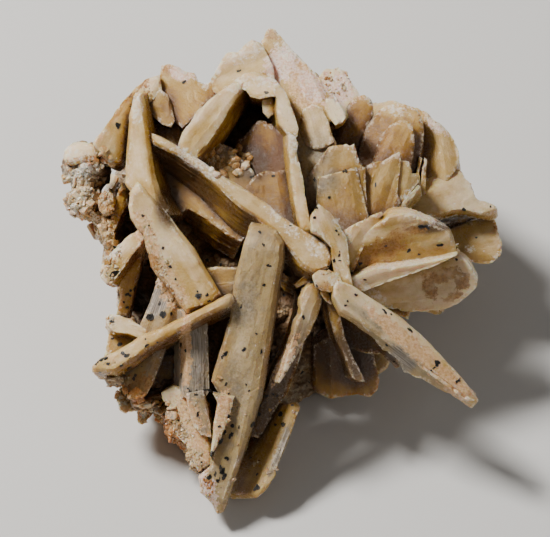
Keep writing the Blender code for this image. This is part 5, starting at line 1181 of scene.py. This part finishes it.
class Sheet:
    """One material, its nodes wired by short calls."""

    def __init__(self, name):
        self.look = bpy.data.materials.new(name)
        self.look.use_nodes = True
        self.tree = self.look.node_tree
        self.shader = self.tree.nodes["Principled BSDF"]

    def wire(self, socket, value):
        if isinstance(value, bpy.types.NodeSocket):
            self.tree.links.new(value, socket)
        elif isinstance(value, tuple) and len(value) == 3 and socket.type == "RGBA":
            socket.default_value = value + (1,)
        else:
            socket.default_value = value

    def feed(self, name, value):
        self.wire(self.shader.inputs[name], value)

    def fix(self, name, value):
        self.shader.inputs[name].default_value = value

    def node(self, kind, output, inputs, **settings):
        """A new node with its settings and inputs. It gives the output that is asked for."""
        step = self.tree.nodes.new("ShaderNode" + kind)
        for name, value in settings.items():
            setattr(step, name, value)
        for socket, value in inputs.items():
            self.wire(step.inputs[socket], value)
        return step.outputs[output]

    def millimetres(self):
        return self.scaled(self.node("TexCoord", "Object", {}), (1 / MM, 1 / MM, 1 / MM))

    def attribute(self, name, output="Fac"):
        return self.node("Attribute", output, {}, attribute_name=name)

    def scaled(self, vector, scale):
        return self.node("VectorMath", 0, {0: vector, 1: scale}, operation="MULTIPLY")

    def added(self, vector, other):
        return self.node("VectorMath", 0, {0: vector, 1: other}, operation="ADD")

    def noise(self, vector, scale, detail=3.0, rough=0.55, output="Fac"):
        inputs = {"Vector": vector, "Scale": scale, "Detail": detail, "Roughness": rough}
        return self.node("TexNoise", output, inputs)

    def cells(self, vector, scale, output="Distance"):
        return self.node("TexVoronoi", output, {"Vector": vector, "Scale": scale})

    def math(self, operation, one, other=0.0):
        return self.node("Math", 0, {0: one, 1: other}, operation=operation)

    def between(self, value, low, high, start=0.0, end=1.0):
        """Rises smoothly from start to end while the value goes from low to high."""
        inputs = {"Value": value, "From Min": low, "From Max": high, "To Min": start, "To Max": end}
        return self.node("MapRange", "Result", inputs, interpolation_type="SMOOTHSTEP")

    def mix(self, factor, one, other):
        return self.node("Mix", 2, {"Factor": factor, 6: one, 7: other}, data_type="RGBA")

    def ramp(self, value, stops):
        """A run of colours along a value."""
        step = self.tree.nodes.new("ShaderNodeValToRGB")
        band = step.color_ramp
        while len(band.elements) < len(stops):
            band.elements.new(0.5)
        for element, (place, colour) in zip(band.elements, stops):
            element.position = place
            element.color = colour + (1,)
        self.wire(step.inputs["Fac"], value)
        return step.outputs["Color"]

    def bumped(self, height, distance, strength=1.0, under=None):
        inputs = {"Strength": strength, "Distance": distance, "Height": height}
        if under is not None:
            inputs["Normal"] = under
        return self.node("Bump", "Normal", inputs)

    def patch(self, name, ragged):
        """A patch with a ragged border, broken up by a noise."""
        torn = self.between(ragged, 0.25, 0.75, -0.45, 0.45)
        lifted = self.math("ADD", self.attribute(name + "_patch"), torn)
        return self.between(lifted, 0.42, 0.58)


def crystal_look():
    """Honey barite: painted pale where it faces the light, and along sharp edges as frosted wear and painted
    edge highlights; painted amber to near black as shade on the side turned from the light, in sheltered
    places (there also iron staining) and in the "deep" patches; finely lined along the blade, with black
    flecks, stains, and white nicks that are partly painted glints."""
    sheet = Sheet("barite_blades")
    place = sheet.millimetres()
    grain = sheet.attribute("grain", "Vector")
    shelter = sheet.attribute("shelter")
    worn = sheet.attribute("worn")

    wide = sheet.noise(place, 0.10, 3)
    cloudy = sheet.noise(place, 0.38, 4, 0.6)
    fine = sheet.noise(place, 1.7, 4, 0.65)
    lines = sheet.noise(sheet.scaled(grain, (0.07, 1.7, 1.3)), 1.0, 4, 0.6)
    hair = sheet.noise(sheet.scaled(grain, (0.2, 4.6, 3.4)), 1.0, 3, 0.6)
    streak = sheet.noise(sheet.scaled(grain, (0.05, 0.4, 0.4)), 1.0, 3, 0.5)

    # Amber depth, partly painted light and shade: it rises on faces turned from the light and in sheltered
    # places (there also iron staining), with the "honey" patches and the amber tints, and falls with the
    # pale tint.
    depth = sheet.between(sheet.attribute("honey_patch"), 0.0, 1.0, 0.12, 0.4)
    for name, weight in (("lee", 0.45), ("shelter", 0.85), ("amber", 0.42), ("pale", -0.3)):
        depth = sheet.math("ADD", depth, sheet.math("MULTIPLY", sheet.attribute(name), weight))
    clouds = ((wide, 0.12), (cloudy, 0.10), (lines, 0.025), (hair, 0.02), (streak, 0.04), (fine, 0.05))
    for cloud, reach in clouds:
        depth = sheet.math("ADD", depth, sheet.between(cloud, 0.28, 0.72, -reach, reach))
    body = sheet.ramp(depth, (
        (0.0, (0.87, 0.69, 0.44)), (0.2, (0.74, 0.53, 0.265)), (0.4, (0.60, 0.385, 0.115)),
        (0.6, (0.49, 0.275, 0.032)), (0.8, (0.34, 0.155, 0.005)), (1.0, (0.16, 0.058, 0.001))))
    # Painted shade: sheltered places darkened towards near black, partly iron staining in the hollows.
    body = sheet.mix(sheet.between(shelter, 0.4, 0.85, 0.0, 0.85), body, (0.06, 0.022, 0.002))
    # Painted shadow: the "deep" patches darken to near black where other blades cast shade.
    deep = sheet.between(sheet.attribute("deep_patch"), 0.1, 0.9, 0.0, 0.9)
    body = sheet.mix(deep, body, (0.07, 0.026, 0.002))
    smoky = sheet.math("MAXIMUM", sheet.attribute("smoke_patch"), sheet.attribute("grey"))
    smoke = sheet.mix(sheet.between(fine, 0.3, 0.7), (0.215, 0.165, 0.10), (0.37, 0.295, 0.19))
    body = sheet.mix(sheet.math("MULTIPLY", smoky, sheet.between(cloudy, 0.3, 0.7, 0.6, 1.0)), body, smoke)

    stone = sheet.mix(sheet.between(hair, 0.35, 0.65), (0.13, 0.108, 0.085), (0.47, 0.40, 0.33))
    dull = sheet.math("ADD", sheet.math("MAXIMUM", sheet.attribute("grey"), sheet.attribute("grey_patch")),
                      sheet.between(cloudy, 0.3, 0.7, -0.15, 0.15))
    open_air = sheet.between(shelter, 0.3, 0.7, 1.0, 0.15)
    body = sheet.mix(sheet.math("MULTIPLY", sheet.between(dull, 0.6, 1.0, 0.0, 0.9), open_air), body, stone)

    ragged = sheet.noise(place, 0.8, 5, 0.75)
    tan = sheet.mix(sheet.between(fine, 0.35, 0.65), (0.62, 0.33, 0.12), (0.86, 0.58, 0.33))
    body = sheet.mix(sheet.math("MULTIPLY", sheet.patch("tan", ragged), 0.85), body, tan)
    rust = sheet.mix(sheet.between(fine, 0.35, 0.65), (0.30, 0.105, 0.008), (0.50, 0.235, 0.035))
    stain = sheet.math("MULTIPLY", sheet.patch("rust", ragged), sheet.between(cloudy, 0.3, 0.6, 0.25, 0.85))
    body = sheet.mix(stain, body, rust)
    pink = sheet.mix(sheet.between(fine, 0.35, 0.65), (0.78, 0.46, 0.30), (0.92, 0.76, 0.70))
    body = sheet.mix(sheet.math("MULTIPLY", sheet.patch("pink", ragged), 0.85), body, pink)

    # Sharp outward edges painted pale: frosted wear and painted edge highlights.
    frost_and_edge_highlight = sheet.math("ADD", worn, sheet.between(sheet.noise(place, 1.2, 4, 0.7), 0.3, 0.7, -0.4, 0.3))
    frost_and_edge_highlight = sheet.math("MULTIPLY", sheet.between(frost_and_edge_highlight, 0.2, 0.8), open_air)
    body = sheet.mix(sheet.math("MULTIPLY", frost_and_edge_highlight, 0.7), body, (0.88, 0.75, 0.57))
    broken = sheet.between(sheet.noise(place, 1.0, 5, 0.75), 0.42, 0.62)
    chalk = sheet.math("MULTIPLY", sheet.math("MULTIPLY", sheet.patch("white", ragged), broken), open_air)
    body = sheet.mix(sheet.math("MULTIPLY", chalk, 0.8), body, (0.90, 0.83, 0.73))

    speck_place = sheet.added(sheet.scaled(grain, (0.5, 0.85, 0.85)), sheet.scaled(
        sheet.noise(place, 1.6, 2, 0.5, "Color"), (0.7, 0.7, 0.7)))
    speck = sheet.cells(speck_place, 1.0)
    chance = sheet.cells(speck_place, 1.0, output="Color")
    cluster = sheet.noise(place, 0.11, 2)
    limit = sheet.math("ADD", sheet.between(cluster, 0.45, 0.75, 0.975, 0.86),
                       sheet.math("MULTIPLY", sheet.attribute("dark_patch"), -0.6))
    chosen = sheet.math("GREATER_THAN", chance, limit)
    black = sheet.math("MULTIPLY", chosen, sheet.between(speck, 0.36, 0.28))
    dust_cell = sheet.cells(place, 2.2)
    dust_chance = sheet.cells(place, 2.2, output="Color")
    dust = sheet.math("GREATER_THAN", dust_chance, 0.92)
    dust = sheet.math("MULTIPLY", dust, sheet.between(dust_cell, 0.3, 0.2))
    body = sheet.mix(sheet.math("MULTIPLY", dust, 0.5), body, (0.16, 0.10, 0.05))
    body = sheet.mix(sheet.math("MULTIPLY", black, 0.94), body, (0.018, 0.015, 0.012))

    # White nicks, denser near sharp edges and only in open places: partly chips and partly painted glints.
    nick = sheet.cells(sheet.scaled(grain, (1.1, 2.4, 2.4)), 1.0)
    nick_chance = sheet.cells(sheet.scaled(grain, (1.1, 2.4, 2.4)), 1.0, output="Color")
    rare = sheet.math("GREATER_THAN", nick_chance, sheet.between(worn, 0.0, 0.6, 0.93, 0.6))
    nicks_and_glints = sheet.math("MULTIPLY", rare, sheet.between(nick, 0.34, 0.22))
    nicks_and_glints = sheet.math("MULTIPLY", nicks_and_glints, sheet.math("MULTIPLY", open_air, 0.75))
    body = sheet.mix(nicks_and_glints, body, (0.95, 0.90, 0.80))
    rough = sheet.between(wide, 0.3, 0.7, 0.06, 0.2)
    rough = sheet.math("ADD", sheet.between(fine, 0.3, 0.7, 0.06, 0.2), rough)
    sheet.feed("Base Color", body)
    sheet.feed("Roughness", sheet.math("ADD", rough, sheet.math("MULTIPLY", dull, 0.12)))
    sheet.fix("IOR", 1.58)
    sheet.fix("Subsurface Radius", (1.0, 0.52, 0.10))
    sheet.fix("Subsurface Scale", 0.0024)
    sheet.feed("Subsurface Weight", sheet.math("MULTIPLY", sheet.between(black, 0, 1, 0.6, 0.0),
                                              sheet.between(dull, 0.3, 1.0, 1.0, 0.35)))
    height = sheet.math("ADD", sheet.math("MULTIPLY", lines, 0.5), sheet.math("MULTIPLY", hair, 0.35))
    height = sheet.math("MULTIPLY", height, sheet.between(dull, 0.3, 1.0, 0.4, 1.2))
    normal = sheet.bumped(height, 0.0003, 0.5)
    pits = sheet.noise(place, 2.0, 6, 0.75)
    normal = sheet.bumped(sheet.math("ADD", pits, sheet.math("MULTIPLY", black, -0.5)), 0.0003, 0.7, normal)
    sheet.feed("Normal", normal)
    glint = sheet.math("ADD", sheet.noise(place, 3.4, 3, 0.8), sheet.math("MULTIPLY", hair, 0.6))
    sheet.feed("Coat Weight", sheet.between(dull, 0.2, 0.8, 0.45, 0.12))
    sheet.fix("Coat Roughness", 0.09)
    sheet.fix("Coat IOR", 1.62)
    sheet.feed("Coat Normal", sheet.bumped(glint, 0.0004, 0.9))
    return sheet.look


def rock_look():
    """Stained matrix, sugary and rusty where it comes to the surface; its hollows are darkened to brown and
    near black, brown iron staining and painted shade.
    """
    sheet = Sheet("stained_matrix")
    place = sheet.millimetres()
    shelter = sheet.attribute("shelter")
    wide = sheet.noise(place, 0.12, 3)
    cloudy = sheet.noise(place, 0.5, 4, 0.6)
    fine = sheet.noise(place, 2.0, 4, 0.65)
    grains = sheet.cells(place, 1.1)
    body = sheet.mix(sheet.between(cloudy, 0.35, 0.65), (0.30, 0.15, 0.04), (0.54, 0.37, 0.18))
    body = sheet.mix(sheet.between(wide, 0.45, 0.65, 0.0, 0.7), body, (0.34, 0.30, 0.24))
    body = sheet.mix(sheet.between(fine, 0.5, 0.66, 0.0, 0.7), body, (0.66, 0.55, 0.40))
    body = sheet.mix(sheet.between(grains, 0.45, 0.75, 0.0, 0.6), body, (0.14, 0.07, 0.03))
    ragged = sheet.noise(place, 0.7, 4, 0.7)
    body = sheet.mix(sheet.patch("rust", ragged), body, (0.42, 0.18, 0.05))
    body = sheet.mix(sheet.patch("white", ragged), body, (0.70, 0.63, 0.52))
    body = sheet.mix(sheet.patch("tan", ragged), body, (0.55, 0.38, 0.21))
    # Sheltered hollows darkened to brown, then to near black: brown iron staining and painted shade.
    body = sheet.mix(sheet.between(shelter, 0.3, 0.52, 0.0, 0.92), body, (0.12, 0.048, 0.006))
    body = sheet.mix(sheet.between(shelter, 0.5, 0.72, 0.0, 0.95), body, (0.018, 0.008, 0.002))
    speck = sheet.cells(sheet.added(place, sheet.scaled(fine, (0.6, 0.6, 0.6))), 0.7)
    chance = sheet.cells(place, 0.7, output="Color")
    black = sheet.math("MULTIPLY", sheet.math("GREATER_THAN", chance, 0.8), sheet.between(speck, 0.4, 0.3))
    body = sheet.mix(black, body, (0.02, 0.018, 0.015))
    sheet.feed("Base Color", body)
    sheet.feed("Roughness", sheet.between(fine, 0.3, 0.7, 0.45, 0.8))
    sheet.fix("IOR", 1.55)
    sheet.fix("Subsurface Radius", (1.0, 0.5, 0.2))
    sheet.fix("Subsurface Scale", 0.001)
    sheet.fix("Subsurface Weight", 0.25)
    sheet.feed("Normal", sheet.bumped(sheet.math("ADD", fine, grains), 0.0004, 0.8))
    return sheet.look


def grains_look():
    """Sugary grains: white, cream, orange and grey by chance, glassy, with painted shade darkening them in
    sheltered places.
    """
    sheet = Sheet("sugary_grains")
    place = sheet.millimetres()
    shade = sheet.attribute("shade")
    cloudy = sheet.noise(place, 0.45, 3)
    fine = sheet.noise(place, 2.5, 3)
    body = sheet.mix(sheet.between(shade, 0.0, 0.45), (0.44, 0.21, 0.05), (0.66, 0.44, 0.21))
    body = sheet.mix(sheet.between(shade, 0.5, 0.75), body, (0.82, 0.68, 0.48))
    body = sheet.mix(sheet.between(shade, 0.88, 0.95), body, (0.30, 0.25, 0.19))
    body = sheet.mix(sheet.between(cloudy, 0.42, 0.62, 0.0, 0.8), body, (0.50, 0.24, 0.06))
    body = sheet.mix(sheet.between(fine, 0.55, 0.7, 0.0, 0.4), body, (0.90, 0.82, 0.70))
    ragged = sheet.noise(place, 0.9, 4, 0.7)
    body = sheet.mix(sheet.math("MULTIPLY", sheet.patch("white", ragged), 0.6), body, (0.86, 0.78, 0.66))
    body = sheet.mix(sheet.math("MULTIPLY", sheet.patch("rust", ragged), 0.85), body, (0.42, 0.15, 0.02))
    body = sheet.mix(sheet.math("MULTIPLY", sheet.patch("tan", ragged), 0.6), body, (0.78, 0.54, 0.30))
    body = sheet.mix(sheet.math("MULTIPLY", sheet.patch("grey", ragged), 0.6), body, (0.40, 0.36, 0.32))
    # Painted shade: grains in sheltered places darkened to amber brown.
    hollow_shade = sheet.attribute("shelter")
    body = sheet.mix(sheet.between(hollow_shade, 0.4, 0.8, 0.0, 0.85), body, (0.26, 0.14, 0.035))
    sheet.feed("Base Color", body)
    sheet.feed("Roughness", sheet.between(fine, 0.3, 0.7, 0.15, 0.4))
    sheet.fix("IOR", 1.62)
    sheet.fix("Subsurface Radius", (1.0, 0.56, 0.24))
    sheet.fix("Subsurface Scale", 0.0012)
    sheet.fix("Subsurface Weight", 0.5)
    sheet.feed("Normal", sheet.bumped(fine, 0.0002, 0.6))
    return sheet.look


def fleck_look():
    sheet = Sheet("black_flecks")
    place = sheet.millimetres()
    fine = sheet.noise(place, 3.0, 3)
    body = sheet.mix(sheet.between(fine, 0.4, 0.65), (0.012, 0.011, 0.010), (0.05, 0.045, 0.038))
    sheet.feed("Base Color", body)
    sheet.feed("Roughness", sheet.between(fine, 0.3, 0.7, 0.3, 0.6))
    sheet.feed("Normal", sheet.bumped(fine, 0.0002, 0.8))
    return sheet.look


def build():
    groups = {
        "long_blades": LONG_BLADES,
        "left_blades": LEFT_BLADES,
        "top_blades": TOP_BLADES + DETAIL_BLADES,
        "right_blades": RIGHT_BLADES,
    }
    seed = 0
    pieces = []
    for name, table in groups.items():
        blades = []
        for spec in table:
            seed += 1
            blades.append(view_blade(spec, seed))
        pieces.append(fused(name, blades))
    rims = []
    for index, blade in enumerate(RIM_BLADES):
        seed += 1
        rims.append(rim_blade(index, blade, seed))
    pieces.append(fused("rim_blades", rims))
    rock = rock_piece()
    tree = tree_of(pieces + [rock])
    grains = crust_piece(tree)
    flecks = fleck_piece(tree)
    blade_finish = crystal_look()
    for piece in pieces:
        give_attributes(piece, tree, True)
        dressed(piece, blade_finish, "blade_crystals")
        smoothed(piece)
    give_attributes(rock, tree, False)
    dressed(rock, rock_look(), "matrix")
    give_attributes(grains, tree, False)
    dressed(grains, grains_look(), "blade_crystals")
    dressed(flecks, fleck_look(), "blade_crystals")


def smoothed(piece):
    deselect_all()
    piece.select_set(True)
    bpy.context.view_layer.objects.active = piece
    bpy.ops.object.shade_smooth_by_angle(angle=SMOOTH_ANGLE)


def dressed(piece, look, node):
    piece.data.materials.clear()
    piece.data.materials.append(look)
    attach(piece, "root")
    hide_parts(node)
    deselect_all()


camera_and_light()
studio()
build()
